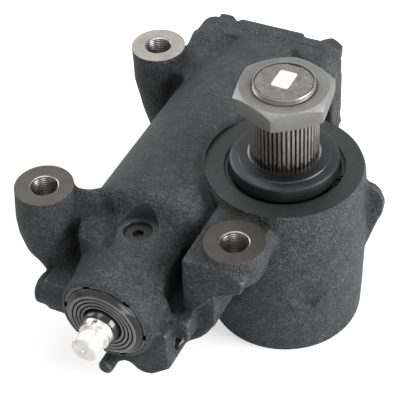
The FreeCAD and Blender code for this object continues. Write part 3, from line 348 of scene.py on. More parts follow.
def cast_paint(name, low, high, warm, roughness):
    """Thin dark coat over sand cast iron: painted shade darkens its hollows, and its edges are
    painted lighter, partly as rubbed wear and partly as a painted highlight.
    """
    material, tree, shader = shader_of(name)
    place = object_place(tree)
    mottle = noise_of(tree, place, 14.0, 4.0, 0.6)
    colour = shades(tree, mottle, low, high, warm)
    hollow = tree.nodes.new("ShaderNodeAttribute")
    hollow.attribute_name = "hollow"
    # painted shade: the colour darkens with each point's depth in a hollow
    hollow_painted_shade = range_of(tree, hollow.outputs["Fac"], 0.0, 0.9, 0.6, 6.0)
    colour = mix_of(tree, hollow_painted_shade, colour, grey(low * 0.3, warm))
    edge = tree.nodes.new("ShaderNodeNewGeometry")
    # edges painted lighter: partly rubbed wear, partly a painted highlight
    wear_and_edge_highlight = range_of(tree, edge.outputs["Pointiness"], 0.0, 0.8, 0.52, 0.62)
    colour = mix_of(tree, wear_and_edge_highlight, colour, grey(high * 2.2, warm))
    grain = noise_of(tree, place, 1.7, 4.0, 0.7)
    broad = noise_of(tree, place, 5.0, 3.0, 0.6)
    colour = multiplied(tree, colour, broad, [(0.35, 0.74), (0.65, 1.25)])
    colour = multiplied(tree, colour, grain, [(0.36, 0.42), (0.5, 0.95), (0.64, 2.3)])
    coarse = noise_of(tree, place, 3.4, 2.0, 0.5)
    dress(tree, shader, colour, range_of(tree, grain, roughness - 0.08, roughness + 0.1),
          [(coarse, 1.3), (grain, 1.2)], specular=0.34)
    return material


def thread_metal(name, level, warm, roughness, pitch):
    """Bright tapped wall: fine rings along an upright axis catch the light, their colour darkened
    toward each groove as painted shade.
    """
    material, tree, shader = shader_of(name)
    half = pitch / 2 * MM
    wave = math_of(tree, "PINGPONG", height_of(tree, object_place(tree)), half)
    height = range_of(tree, wave, 0.0, 1.0, 0.0, half)
    fine = noise_of(tree, object_place(tree), 0.8, 3.0)
    # painted shade: the colour darkens toward each thread groove
    colour = ramp_of(tree, height, [(0.1, grey(level * 0.45, warm)), (0.8, grey(level, warm))])
    dress(tree, shader, colour, range_of(tree, fine, roughness - 0.05, roughness + 0.08),
          [(height, 0.5)], 1.0)
    return material


def turned_metal(name, level, warm, roughness, centre, axis, step=0.35, metallic=1.0):
    """Faced or turned metal, its tool marks rings about an axis (0, 1 or 2)."""
    material, tree, shader = shader_of(name)
    flat = [1.0, 1.0, 1.0]
    flat[axis] = 0.02
    rings = tree.nodes.new("ShaderNodeTexNoise")
    rings.noise_dimensions = "1D"
    rings.inputs["Scale"].default_value = 1.0 / (step * MM)
    rings.inputs["Detail"].default_value = 2.0
    tree.links.new(length_of(tree, object_place(tree, centre, flat)), rings.inputs["W"])
    ring = rings.outputs["Fac"]
    patch = noise_of(tree, object_place(tree), 9.0, 4.0, 0.6)
    colour = shades(tree, patch, level * 0.88, level, warm)
    dress(tree, shader, colour, range_of(tree, ring, roughness - 0.07, roughness + 0.07),
          [(ring, 0.02)], metallic)
    return material


def plain_metal(name, level, warm, roughness, grain_mm=1.0, grain=0.02, metallic=1.0):
    material, tree, shader = shader_of(name)
    place = object_place(tree)
    fine = noise_of(tree, place, grain_mm, 3.0)
    patch = noise_of(tree, place, 11.0, 3.0)
    colour = shades(tree, patch, level * 0.9, level, warm)
    dress(tree, shader, colour, range_of(tree, fine, roughness - 0.06, roughness + 0.06),
          [(fine, grain)], metallic)
    return material


def rubber(name, level, roughness, specular=0.5):
    material, tree, shader = shader_of(name)
    place = object_place(tree)
    fine = noise_of(tree, place, 0.8, 2.0)
    bloom = noise_of(tree, place, 8.0, 3.0)
    colour = ramp_of(tree, bloom, [(0.35, grey(level)), (0.7, grey(level * 1.25))])
    dress(tree, shader, colour, range_of(tree, bloom, roughness - 0.05, roughness + 0.07),
          [(fine, 0.02)], specular=specular)
    return material


def shaft_steel(name, level, warm, black_below, crest, root):
    """Serrated steel: pale crests, valleys darkened as painted shade, and a black lower end with a
    ragged edge.
    """
    material, tree, shader = shader_of(name)
    place = object_place(tree)
    patch = noise_of(tree, place, 5.0, 4.0, 0.65)
    fine = noise_of(tree, object_place(tree, stretch=(1, 1, 0.12)), 0.5, 3.0, 0.6)
    colour = shades(tree, patch, level * 0.82, level, warm)
    off_axis = length_of(tree, object_place(tree, stretch=(1, 1, 0)))
    # painted shade: darker toward the serrations' roots
    valley = range_of(tree, off_axis, 1.0, 0.0, root * MM, crest * MM)
    colour = mix_of(tree, valley, colour, grey(level * 0.42, warm))
    ragged = range_of(tree, noise_of(tree, object_place(tree, stretch=(1, 1, 0.3)), 2.2, 2.0, 0.6),
                      -0.0035, 0.0035)
    height = math_of(tree, "ADD", height_of(tree, place), ragged)
    black = range_of(tree, height, 1.0, 0.0, (black_below - 1.2) * MM, (black_below + 1.2) * MM)
    colour = mix_of(tree, black, colour, grey(24))
    dress(tree, shader, colour, range_of(tree, fine, 0.28, 0.46), [(fine, 0.03)],
          range_of(tree, black, 1.0, 0.25, 0.0, 1.0))
    return material


def paper(name, level):
    material, tree, shader = shader_of(name)
    fibre = noise_of(tree, object_place(tree), 0.7, 3.0, 0.6)
    colour = shades(tree, fibre, level - 6, level)
    fine = noise_of(tree, object_place(tree), 0.4, 2.0, 0.5)
    dress(tree, shader, colour, range_of(tree, fibre, 0.55, 0.7), [(fine, 0.01)])
    return material


def speckled(name, level, warm, roughness):
    """Blasted end face: brownish grey with small dark and light specks."""
    material, tree, shader = shader_of(name)
    place = object_place(tree)
    grain = noise_of(tree, place, 0.9, 4.0, 0.7)
    stain = noise_of(tree, place, 6.0, 3.0, 0.6)
    colour = shades(tree, stain, level * 0.84, level, warm)
    colour = multiplied(tree, colour, grain, [(0.36, 0.45), (0.5, 1.0), (0.66, 1.35)])
    dress(tree, shader, colour, range_of(tree, grain, roughness, roughness + 0.15),
          [(grain, 0.05)], 0.7)
    return material


# Mesh making
def link(mesh, name, body, replaced=()):
    piece = added(name, mesh)
    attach(piece, body)
    if replaced:
        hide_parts(*replaced)
    return piece


def closed_mesh(name, points, faces, material=None):
    mesh = bpy.data.meshes.new(name)
    mesh.from_pydata(points, [], faces)
    if material:
        mesh.materials.append(material)
    facing_out(mesh)
    return mesh


def off_axis(axis, centre, along, across, up):
    """Point at a distance along an axis (0, 1 or 2) and off it both ways."""
    first, second = [(1, 2), (2, 0), (0, 1)][axis]
    p = [0.0, 0.0, 0.0]
    p[axis] = along + centre[axis]
    p[first] = centre[first] + across
    p[second] = centre[second] + up
    return p


def ring_faces(rings, size):
    """Faces of a closed form through rings of as many points each."""
    faces = []
    for ring in range(rings - 1):
        for k in range(size):
            a, b = ring * size + k, ring * size + (k + 1) % size
            faces.append((a, b, b + size, a + size))
    return faces + [tuple(range(size)), tuple(range((rings - 1) * size, rings * size))]


def turned(name, outline, axis, centre, material, segments=96):
    """Closed mesh turned about X, Y or Z (0, 1, 2) from (radius, along) points in millimetres."""
    points, faces, rings = [], [], []
    for radius, along in outline:
        ring = []
        count = 1 if radius == 0 else segments
        for k in range(count):
            turn = 2 * math.pi * k / segments
            ring.append(len(points))
            points.append(mm(*off_axis(axis, centre, along, radius * math.cos(turn),
                                       radius * math.sin(turn))))
        rings.append(ring)
    for here, there in zip(rings, rings[1:] + rings[:1]):
        if len(here) == 1 and len(there) == 1:
            continue
        for k in range(segments):
            n = (k + 1) % segments
            if len(here) == 1:
                faces.append((here[0], there[n], there[k]))
            elif len(there) == 1:
                faces.append((here[k], here[n], there[0]))
            else:
                faces.append((here[k], here[n], there[n], there[k]))
    return closed_mesh(name, points, faces, material)


def facing_out(mesh):
    shape = bmesh.new()
    shape.from_mesh(mesh)
    bmesh.ops.recalc_face_normals(shape, faces=shape.faces)
    if shape.calc_volume(signed=True) < 0:
        bmesh.ops.reverse_faces(shape, faces=shape.faces)
    shape.to_mesh(mesh)
    shape.free()


def block(name, low, high, material):
    shape = bmesh.new()
    bmesh.ops.create_cube(shape, size=1.0)
    for v in shape.verts:
        v.co = Vector([(a if c < 0 else b) * MM for c, a, b in zip(v.co, low, high)])
    mesh = bpy.data.meshes.new(name)
    shape.to_mesh(mesh)
    shape.free()
    if material:
        mesh.materials.append(material)
    facing_out(mesh)
    return mesh


def arrays(mesh):
    """Points in millimetres and triangles of a mesh."""
    co = np.empty(len(mesh.vertices) * 3, dtype=np.float32)
    mesh.vertices.foreach_get("co", co)
    mesh.calc_loop_triangles()
    tri = np.empty(len(mesh.loop_triangles) * 3, dtype=np.int32)
    mesh.loop_triangles.foreach_get("vertices", tri)
    return co.reshape(-1, 3) / MM, tri.reshape(-1, 3)


def gathered(meshes):
    points, faces, start = [], [], 0
    for mesh in meshes:
        p, t = arrays(mesh)
        points.append(p)
        faces.append(t + start)
        start += len(p)
    return np.concatenate(points).astype(np.float32), np.concatenate(faces).astype(np.int32)


def skin_mesh(name, points, quads, material):
    return closed_mesh(name, (points * MM).tolist(), quads.tolist(), material)


def applied(piece):
    graph = bpy.context.evaluated_depsgraph_get()
    mesh = bpy.data.meshes.new_from_object(piece.evaluated_get(graph), depsgraph=graph)
    piece.modifiers.clear()
    piece.data = mesh


def carved(piece, cutters):
    """Cuts closed meshes out of a piece, their materials going to the new faces."""
    holder = bpy.data.collections.new("cutters")
    bpy.context.scene.collection.children.link(holder)
    for mesh in cutters:
        holder.objects.link(bpy.data.objects.new(mesh.name, mesh))
    cut = piece.modifiers.new("cut", "BOOLEAN")
    cut.operand_type = "COLLECTION"
    cut.collection = holder
    cut.operation = "DIFFERENCE"
    cut.solver = "MANIFOLD"
    cut.material_mode = "TRANSFER"
    applied(piece)
    for o in list(holder.objects):
        bpy.data.objects.remove(o)
    bpy.data.collections.remove(holder)


def smooth(mesh, angle=32):
    mesh.polygons.foreach_set("use_smooth", [True] * len(mesh.polygons))
    mesh.set_sharp_from_angle(angle=math.radians(angle))


def between(first, last):
    """Closed mesh between two outlines that have as many points, given in millimetres."""
    count = len(first)
    faces = [tuple(range(count)), tuple(range(count, 2 * count))]
    for k in range(count):
        n = (k + 1) % count
        faces.append((k, n, n + count, k + count))
    return closed_mesh("form", [mm(*p) for p in list(first) + list(last)], faces)


def slab_xz(outline, y0, y1, turn=0.0):
    mesh = between([(x, y0, z) for x, z in outline], [(x, y1, z) for x, z in outline])
    mesh.transform(Matrix.Rotation(math.radians(turn), 4, "Z"))
    return mesh


def slab_xy(outline, z0, z1):
    return between([(x, y, z0) for x, y in outline], [(x, y, z1) for x, y in outline])


def drum_prism(outline, start, lean):
    """Prism on the drum's front from (across, z) points, its inner face leaning in downward."""
    inner = [(start + lean * (z - POCKET_TOP), across, z) for across, z in outline]
    mesh = between(inner, [(x + DRUM_R, y, z) for x, y, z in inner])
    mesh.transform(Matrix.Rotation(math.radians(POCKET_TURN), 4, "Z"))
    return mesh


def stack(rings, segments=64):
    """Closed mesh through level circles given as (x, y, z, radius) from the top down."""
    points = []
    for x, y, z, radius in rings:
        for k in range(segments):
            turn = 2 * math.pi * k / segments
            points.append(mm(x + radius * math.cos(turn), y + radius * math.sin(turn), z))
    return closed_mesh("form", points, ring_faces(len(rings), segments))


def rounded(left, right, low, high, corner, steps=8):
    """Outline of a rectangle with rounded corners."""
    outline = []
    for x, z, start in ((right - corner, high - corner, 0), (left + corner, high - corner, 90),
                        (left + corner, low + corner, 180), (right - corner, low + corner, 270)):
        for k in range(steps + 1):
            turn = math.radians(start + 90 * k / steps)
            outline.append((x + corner * math.cos(turn), z + corner * math.sin(turn)))
    return outline


def rod(axis, radius, start, end, centre, material=None):
    outline = [(0, start), (radius, start), (radius, end), (0, end)]
    return turned("form", outline, axis, centre, material, 48)


def level_set(points, voxel, half, triangles=None, quads=None):
    transform = openvdb.createLinearTransform(voxel)
    faces = {"triangles": triangles} if quads is None else {"quads": quads.astype(np.int32)}
    return openvdb.FloatGrid.createLevelSetFromPolygons(points, transform=transform,
                                                        halfWidth=half, **faces)


def dense(grid, low, count):
    values = np.empty(count, dtype=np.float32)
    grid.copyToArray(values, ijk=low)
    return values


def softened(meshes, hollows, close, open_by, voxel):
    """One skin over closed meshes less the hollows, narrow gaps filled and edges eased."""
    half = math.ceil((close + open_by) / voxel) + 3
    points, triangles = gathered(meshes)
    solid = level_set(points, voxel, half, triangles)
    if hollows:
        low = tuple(int(v) for v in np.floor(points.min(axis=0) / voxel) - half - 2)
        high = np.ceil(points.max(axis=0) / voxel) + half + 2
        count = tuple(int(b - a) for a, b in zip(low, high))
        body = dense(solid, low, count)
        points, triangles = gathered(hollows)
        body = np.maximum(body, -dense(level_set(points, voxel, half, triangles), low, count))
        solid = openvdb.FloatGrid(half * voxel)
        solid.transform = openvdb.createLinearTransform(voxel)
        solid.copyFromArray(body, ijk=low)
        points, quads = solid.convertToQuads(0.0)
        solid = level_set(points, voxel, half, quads=quads)
    points, quads = solid.convertToQuads(close)
    for step in (-(close + open_by), open_by):
        points, quads = level_set(points, voxel, half, quads=quads).convertToQuads(step)
    return points, quads


def mark_hollows(mesh, points, quads, reach, voxel):
    """Stores how deep each point lies in a hollow, in millimetres, as the attribute hollow."""
    half = math.ceil(reach / voxel) + 3
    closed = level_set(points, voxel, half, quads=quads)
    points, quads = closed.convertToQuads(reach)
    points, quads = level_set(points, voxel, half, quads=quads).convertToQuads(-reach)
    cover = level_set(points, voxel, half, quads=quads)
    places = arrays(mesh)[0]
    low = np.floor(places.min(axis=0) / voxel).astype(int) - 2
    count = np.ceil(places.max(axis=0) / voxel).astype(int) + 3 - low
    depth = dense(cover, tuple(int(v) for v in low), tuple(int(v) for v in count))
    at = places / voxel - low
    cell = np.floor(at).astype(int)
    part = at - cell
    total = np.zeros(len(places))
    for corner in range(8):
        step = np.array([corner >> 2 & 1, corner >> 1 & 1, corner & 1])
        weight = np.prod(np.where(step, part, 1 - part), axis=1)
        i, j, k = (cell + step).T
        total += weight * depth[i, j, k]
    layer = mesh.attributes.new("hollow", "FLOAT", "POINT")
    layer.data.foreach_set("value", np.maximum(-total, 0).astype(np.float32))


make_camera()
make_world()
make_floor()
for lamp in (("overhead", (-0.35, 0.3, 1.5), (-0.05, 0, -0.03), 1.0, 9.2),
             ("right_side", (1.3, 0.15, 0.5), (-0.03, 0, -0.05), 0.9, 29.0),
             ("front", (0.75, -1.35, 0.35), (-0.05, 0, -0.06), 0.8, 7.0),
             ("left_side", (-1.35, 0.3, 0.6), (-0.08, 0, -0.05), 0.9, 7.0)):
    area_light(*lamp)

iron = cast_paint("cast_iron_coat", 50, 66, -0.05, 0.48)
# one faced finish on all three bosses, its level differing from boss to boss as painted light and
# shade
boss_lit_levels = (176, 92, 76)               # rear, front and right boss
faced = [turned_metal("faced_iron_%d" % k, boss_lit_levels[k], 0.07, 0.42, (x, y, 0), 2)
         for k, (x, y) in enumerate(BOSSES)]
ring_faced = turned_metal("faced_ring", 58, -0.03, 0.44, UPRIGHT, 2, 0.5, 0.55)
hole_wall = thread_metal("thread_wall", 170, 0.02, 0.28, 1.75)
bore_wall = plain_metal("bore_wall", 120, 0.0, 0.35)
spot_faced = turned_metal("spot_face", 58, -0.04, 0.5, PLUG_AT, 2, 0.5, 0.2)
# painted shade: the plug's tapped bore wall is painted near black
plug_bore_shade = plain_metal("plug_bore_shade", 26, 0.0, 0.4, 0.8, 0.03, 0.3)

# Casting forms, measured from the shaft's axis and the mounting faces
POCKET_TOP = -50.0
POCKET_TURN = -52.0
DRUM_R = 60.2
DRUM_BULGE = 62.2
CASE_BOTTOM = -142.0
FLANGE_THICKNESS = 8.0
FLANGE_FRONT = REAR_FACE - FLANGE_THICKNESS
FLANGE_LEFT, FLANGE_RIGHT, FLANGE_HALF = 68, 60.5, 49.3
BOLT_OUT, BOLT_UP = 47.5, 36             # cover bolts from the cylinder's axis
PORT_R = 8.2
PORT_DEPTH = 17.0
RETURN_FACE = -146.0                     # x of the ports' faces
PRESSURE_FACE = -33.5
CHAMBER_R = 51.2                         # sector chamber
CHAMBER_TOP = -28
RACE_FLOOR = -28.5
SEAL_FLOOR = -12
SNAP_LOW, SNAP_HIGH = -4.6, -2.2         # snap ring's groove
SLEEVE_SEAT = -128.87                    # y of the steps along the cylinder's axis
WEB_BACK = -81.87
BORE_FRONT = -68.87
WEB_HOLE_R = 18.2
NECK_R = 42.5
BARREL_R = 60.0
VALVE_DECK = -21.5
REAR_BOSS, FRONT_BOSS, RIGHT_BOSS = BOSSES
LEFT = REAR_BOSS[0]
BACK = FRONT_BOSS[1]
CUP_DROP = 13.0
CUP_R = 24.0
RISE = 8.0
FLANGE_TOP = CYL_Z + FLANGE_HALF
FLANGE = rounded(CYL_X - FLANGE_LEFT, CYL_X + FLANGE_RIGHT, CYL_Z - FLANGE_HALF, FLANGE_TOP, 17.0)
return_port = mount_place("return_port")
pressure_port = mount_place("pressure_port")


def boss_column(place, steps):
    x, y = place
    return stack([(x, y, RISE, BOSS_R)] +
                 [(x + shift, y, -drop, BOSS_R + swell) for drop, shift, swell in steps])


def cup():
    x, y = RIGHT_BOSS
    rings = [(x, y, RISE, BOSS_R), (x, y, 0, BOSS_R), (x, y, -8, CUP_R - 0.5)]
    for step in range(0, 9):
        turn = math.radians(10 * step)
        rings.append((x, y, -CUP_DROP - CUP_R * math.sin(turn), CUP_R * math.cos(turn)))
    return stack(rings)


def casting_forms():
    x, y = CYL_X, VALVE_FACE
    barrel = turned("form", [
        (0, y), (34.8, y), (36.8, y + 3), (36.8, y + 8), (36.0, y + 9.5), (37.8, y + 21),
        (NECK_R - 2.5, PLUG_AT[1] - 26), (NECK_R, PLUG_AT[1] - 17), (NECK_R + 0.8, -78.4),
        (BARREL_R - 7, -72.4), (BARREL_R - 2.5, -67.9), (BARREL_R, -57.9), (BARREL_R, REAR_BOSS[1]),
        (BARREL_R - 4, REAR_BOSS[1] + 11), (53, FLANGE_FRONT - 8), (52, FLANGE_FRONT + 1),
        (0, FLANGE_FRONT + 1)], 1, AXIS_Y, None)
    drum = turned("form", [
        (0, RISE), (RING_FACE_R, RISE), (RING_FACE_R, 0), (DRUM_R - 0.2, -3.5), (DRUM_BULGE, -45),
        (DRUM_BULGE - 0.5, -75), (DRUM_R + 0.5, -115), (DRUM_R - 0.5, CASE_BOTTOM + 5),
        (DRUM_R - 1.8, CASE_BOTTOM + 1.8), (DRUM_R - 5, CASE_BOTTOM), (0, CASE_BOTTOM)],
        2, UPRIGHT, None)
    rear = boss_column(REAR_BOSS, [(0, 0, 0), (15, 0, -0.3), (30, 0, 0), (46, 3, -0.3),
                                   (58, 5, -0.5), (70, 8, -1), (80, 11, -1.5), (96, 22, -10)])
    front = boss_column(FRONT_BOSS, [(0, 0, 0), (14, 0, 1.3), (27, 0, 2.3), (39, 1, 2.5),
                                     (52, 5, 2.5), (60, 11, 1), (70, 16, 0), (84, 24, -6)])
    rear_web = slab_xy([(LEFT, 97), (LEFT + 3, 112), (LEFT + 14, 120), (x - 66, FLANGE_FRONT),
                        (x - 8, FLANGE_FRONT), (x - 8, 50), (x - 20, 51), (x - 37, 68),
                        (x - 48, 83), (LEFT + 15, 90)], -62, -11)
    rear_arm = slab_xz([(LEFT, -12), (x - 40, -12), (x - 20, -60), (x - 50, -92), (LEFT, -60)],
                       84, 111)
    ridge = [(LEFT + 4, BACK + 6), (LEFT + 8, BACK + 14), (x - 48.5, BACK + 17.3),
             (x - 39.4, BACK + 24.1), (x - 32.6, BACK + 31.2), (x - 22.5, BACK + 40),
             (x - 19, BACK + 37), (x - 30, BACK + 27), (x - 46, BACK + 14)]
    spread = [(0, -6)] + [(0, 0)] * 5 + [(3, -8)] * 3
    front_ridge = between([(a + da, b + db, -24) for (a, b), (da, db) in zip(ridge, spread)],
                          [(a, b, -8) for a, b in ridge])
    front_web = slab_xy([(LEFT + 4, BACK), (LEFT + 10, BACK + 13), (x - 48.5, BACK + 17.3),
                         (x - 32.6, BACK + 31.2), (x - 15, BACK + 42), (x - 10, BACK)], -72, -23)
    valve_block = slab_xy([(x - 49.5, BACK + 2), (x - 40.4, BACK - 17), (x - 18, BACK - 24.6),
                           (x - 8, BACK - 20), (x - 8, BACK + 14), (x - 29.6, BACK + 19.6),
                           (x - 45.4, BACK + 13)], -66, VALVE_DECK)
    deck = slab_xy([(LEFT, BACK - 10), (LEFT + 36, BACK - 15), (x - 10, BACK - 15),
                    (x - 10, BACK + 20), (LEFT + 8, BACK + 12)], -82, -64)
    face = -115.0
    wall = slab_xz([(-30, -7), (-2, -5), (17, -12), (15, -24), (-1, -33), (-6, -36), (-25, -60),
                    (-32, -68)], face + 1.5, -55)
    lower = slab_xz([(-32, -40), (-7, -34), (-9.5, -72), (-18, -86), (-23.5, -92.5), (-31, -98.5),
                     (-36, -101), (-36, -72)], face + 7.5, -45)
    neck = slab_xz([(-24, -9), (14, -9), (20, -20), (14, -36), (-6, -44), (-24, -44)], -91, -45)
    beam = slab_xz([(-70, -62), (-22, -59), (-22, -77), (-70, -71)], -125, -66)
    face = PRESSURE_FACE
    lobe = slab_xz([(-84, -60), (face, -64), (face, -100), (face - 15, -112.5), (-56, -114),
                    (-62, -112), (-65, -108), (-71, -107), (-77, -111), (-86, -106)], -137, -100)
    block_low, block_high = return_port[2] - 12, return_port[2] + 18.5
    return_block = block("form", (-137, -131.3, block_low), (x - 26, -103, block_high), None)
    return_spigot = rod(0, 12.0, RETURN_FACE, -120, (0, return_port[1], return_port[2]))
    plug_boss = rod(2, 16.0, -44, PLUG_FACE + 2, PLUG_AT)
    peg = rod(1, 5.8, y - 6, -126, (x - 2, 0, CYL_Z - 46.5))
    pad = rod(2, 15.0, -20, 2.2, (x - 5, 55, 0))
    lug = slab_xz([(50, -13), (61, -15), (66.7, -16.4), (71.1, -21.5), (74.9, -31.6), (73.5, -42.3),
                   (69.2, -53.5), (64.9, -67.6), (58, -88), (50, -88)], -3.5, 3.5, 18)
    flange = slab_xz(FLANGE, FLANGE_FRONT, REAR_FACE + RISE)
    left_pad = rod(1, 17.0, REAR_FACE - 14, REAR_FACE, (x - 51, 0, FLANGE_TOP - 17))
    corner_block = slab_xy([(-53, REAR_FACE - 1), (-21, REAR_FACE - 1), (-21, REAR_FACE - 20),
                            (-44, REAR_FACE - 14)], FLANGE_TOP - 34, FLANGE_TOP - 1)
    pads = [rod(1, 12.5, REAR_FACE - 22, REAR_FACE, place) for place in bolt_places()]
    return [barrel, drum, rear, front, cup(), rear_web, rear_arm, front_ridge, front_web,
            valve_block, deck, wall, lower, neck, beam, lobe, return_block, return_spigot,
            plug_boss, peg, pad, lug, flange, left_pad, corner_block] + pads


def bolt_places():
    return [(CYL_X + sx * BOLT_OUT, 0, CYL_Z + sz * BOLT_UP) for sx in (-1, 1) for sz in (-1, 1)]


def casting_hollows():
    x = CYL_X
    pocket = drum_prism([(-23, -43), (-15.5, -79), (3.1, -96), (23.4, -70), (20, -48)],
                        DRUM_BULGE, 0.11)
    hollow = slab_xy([(x + 33.5, -121), (-31, -115), (-31, -74), (-38, -74), (x + 33.5, -80)],
                     -60, 0)
    px, py = PLUG_AT[0] + 2.7, PLUG_AT[1] - 4.4
    terrace = slab_xy([(-107, -73), (-97, -85), (px - 18, py), (-89, -100), (-86.5, -112),
                       (-101, -111.5), (-114, -106), (-125, -80)], VALVE_DECK, 0)
    return [pocket, hollow, terrace]


def machined_cuts():
    cuts = []
    for (x, y), face, name in zip(BOSSES, faced, HOLE_NAMES):
        depth = mounts[name]["dims"]["length_mm"]
        centre = (x, y, 0)
        cuts.append(turned("cut", [(0, 0), (BOSS_R + 4, 0), (BOSS_R + 4, 30), (0, 30)], 2,
                           centre, face))
        cuts.append(turned("cut", [(0, -depth - 3), (THREAD_R - 0.6, -depth),
                                   (THREAD_R - 0.6, -1.8), (THREAD_R + 1.0, 0),
                                   (THREAD_R + 1.0, 1), (0, 1)], 2, centre, hole_wall))
    for place, start, end in ((return_port, RETURN_FACE, RETURN_FACE + PORT_DEPTH),
                              (pressure_port, PRESSURE_FACE, PRESSURE_FACE - PORT_DEPTH)):
        out = math.copysign(1, start - end)
        cuts.append(turned("cut", [(0, start + out), (PORT_R + 1, start + out), (PORT_R + 1, start),
                                   (PORT_R - 0.5, start - 1.5 * out), (PORT_R - 0.5, end),
                                   (0, end)], 0, (0, place[1], place[2]), hole_wall))
    cuts += [
        turned("cut", [(0, 0), (RING_FACE_R + 1, 0), (RING_FACE_R + 1, 30), (0, 30)], 2, UPRIGHT,
               ring_faced),
        turned("cut", [(0, RACE_FLOOR), (RACE_R, RACE_FLOOR), (RACE_R, SEAL_FLOOR),
                       (SEAL_BORE_R, SEAL_FLOOR), (SEAL_BORE_R, SNAP_LOW),
                       (SEAL_BORE_R + 2, SNAP_LOW), (SEAL_BORE_R + 2, SNAP_HIGH),
                       (SEAL_BORE_R, SNAP_HIGH), (SEAL_BORE_R, -0.6), (SEAL_BORE_R + 0.6, 0),
                       (SEAL_BORE_R + 0.6, 1), (0, 1)], 2, UPRIGHT, bore_wall),
        turned("cut", [(0, CHAMBER_TOP), (CHAMBER_R, CHAMBER_TOP), (CHAMBER_R, side_high[2]),
                       (SIDE_R, side_high[2]), (SIDE_R, side_low[2]), (56, side_low[2]),
                       (56, side_low[2] - 2.2), (SIDE_R, side_low[2] - 2.2),
                       (SIDE_R, CASE_BOTTOM - 5), (0, CASE_BOTTOM - 5)], 2, UPRIGHT, bore_wall),
        block("cut", (-250, REAR_FACE, -250), (250, REAR_FACE + 60, 250), bore_wall),
        turned("cut", [(0, VALVE_FACE - 12), (40.0, VALVE_FACE - 12), (40.0, VALVE_FACE),
                       (VALVE_MOUTH, VALVE_FACE), (VALVE_MOUTH, SLEEVE_SEAT),
                       (VALVE_BORE, SLEEVE_SEAT), (VALVE_BORE, WEB_FRONT), (WEB_HOLE_R, WEB_FRONT),
                       (WEB_HOLE_R, WEB_BACK), (28, WEB_BACK), (28, BORE_FRONT), (BORE, BORE_FRONT),
                       (BORE, REAR_FACE + 1), (0, REAR_FACE + 1)], 1, AXIS_Y, bore_wall),
        turned("cut", [(0, PLUG_FACE), (15.5, PLUG_FACE), (15.5, 30), (0, 30)], 2, PLUG_AT,
               spot_faced),
        turned("cut", [(0, plug_low[2]), (10, plug_low[2]), (10, PLUG_FACE - 1),
                       (10.8, PLUG_FACE), (10.8, PLUG_FACE + 1), (0, PLUG_FACE + 1)],
               2, PLUG_AT, plug_bore_shade),
    ]
    return cuts


def cast_piece(name, node, forms, hollows, softening, cuts, reach, coarse):
    """Piece of cast iron: softened forms, machined cuts and hollows marked for painted shade."""
    points, quads = softened(forms, hollows, *softening)
    piece = link(skin_mesh(name, points, quads, iron), name, "housing", [node])
    carved(piece, cuts)
    mark_hollows(piece.data, points, quads, reach, coarse)
    smooth(piece.data, 40)


def make_casting():
    voxel = 1.05
    cast_piece("casting", "gear_housing", casting_forms(), casting_hollows(), (2.2, 0.7, voxel),
               machined_cuts(), 12.0, 2.4)


# The other pieces
def eased(piece, width, angle=35, segments=2):
    """Rounds the sharp edges of a piece a little."""
    bevel = piece.modifiers.new("ease", "BEVEL")
    bevel.width = width * MM
    bevel.segments = segments
    bevel.limit_method = "ANGLE"
    bevel.angle_limit = math.radians(angle)
    applied(piece)


def joined(name, meshes):
    """One mesh of several closed ones, their materials kept."""
    shape = bmesh.new()
    materials = []
    for mesh in meshes:
        start = len(shape.faces)
        shape.from_mesh(mesh)
        shape.faces.ensure_lookup_table()
        for face in shape.faces[start:]:
            material = mesh.materials[face.material_index]
            if material not in materials:
                materials.append(material)
            face.material_index = materials.index(material)
    result = bpy.data.meshes.new(name)
    shape.to_mesh(result)
    shape.free()
    for material in materials:
        result.materials.append(material)
    return result


def hex_mesh(flats, low, high, turn, axis, centre, material):
    """Upright or lengthwise hexagon bar."""
    reach = flats / math.sqrt(3)
    angles = [math.radians(turn + 60 * k) for k in range(6)]
    mesh = between(*([off_axis(axis, centre, level, reach * math.cos(a), reach * math.sin(a))
                      for a in angles] for level in (low, high)))
    mesh.materials.append(material)
    return mesh


def make_nut():
    nut_steel = plain_metal("nut_steel", 130, 0.01, 0.6, 0.7, 0.03, 0.55)
    chamfer = turned_metal("nut_chamfer", 150, 0.01, 0.5, UPRIGHT, 2, 0.4, 0.6)
    low, high = nut_low[2], nut_high[2]
    mesh = hex_mesh(65.0, low, high, 38.3, 2, UPRIGHT, nut_steel)
    piece = link(mesh, "nut", "sector", ["pitman_nut"])
    corner = 38.5
    top = 31.9
    drop = 3.3 * (corner - top) / (37.53 - top)
    cutters = [
        turned("cut", [(top, high), (top, high + 1), (corner, high + 1), (corner, high - drop)], 2,
               UPRIGHT, chamfer),
        turned("cut", [(33.5, low), (corner, low + 1.8), (corner, low - 1), (33.5, low - 1)], 2,
               UPRIGHT, chamfer),
        turned("cut", [(0, low - 1), (22.55, low - 1), (22.55, high - 1.5), (24.2, high),
                       (24.2, high + 1), (0, high + 1)], 2, UPRIGHT, chamfer),
    ]
    carved(piece, cutters)
    eased(piece, 0.35, 28)
    smooth(piece.data, 35)


def serrated(rings, count, crest_share, root_share, axis, centre, material):
    """Bar with trapezoid serrations: rings give (along, crest radius, root radius)."""
    pitch = 2 * math.pi / count
    points = []
    for along, crest, root in rings:
        for k in range(count):
            for shift, radius in ((-crest_share / 2, crest), (crest_share / 2, crest),
                                  (0.5 - root_share / 2, root), (0.5 + root_share / 2, root)):
                turn = pitch * k + pitch * shift
                points.append(mm(*off_axis(axis, centre, along, radius * math.cos(turn),
                                           radius * math.sin(turn))))
    return closed_mesh("serrated", points, ring_faces(len(rings), 4 * count), material)


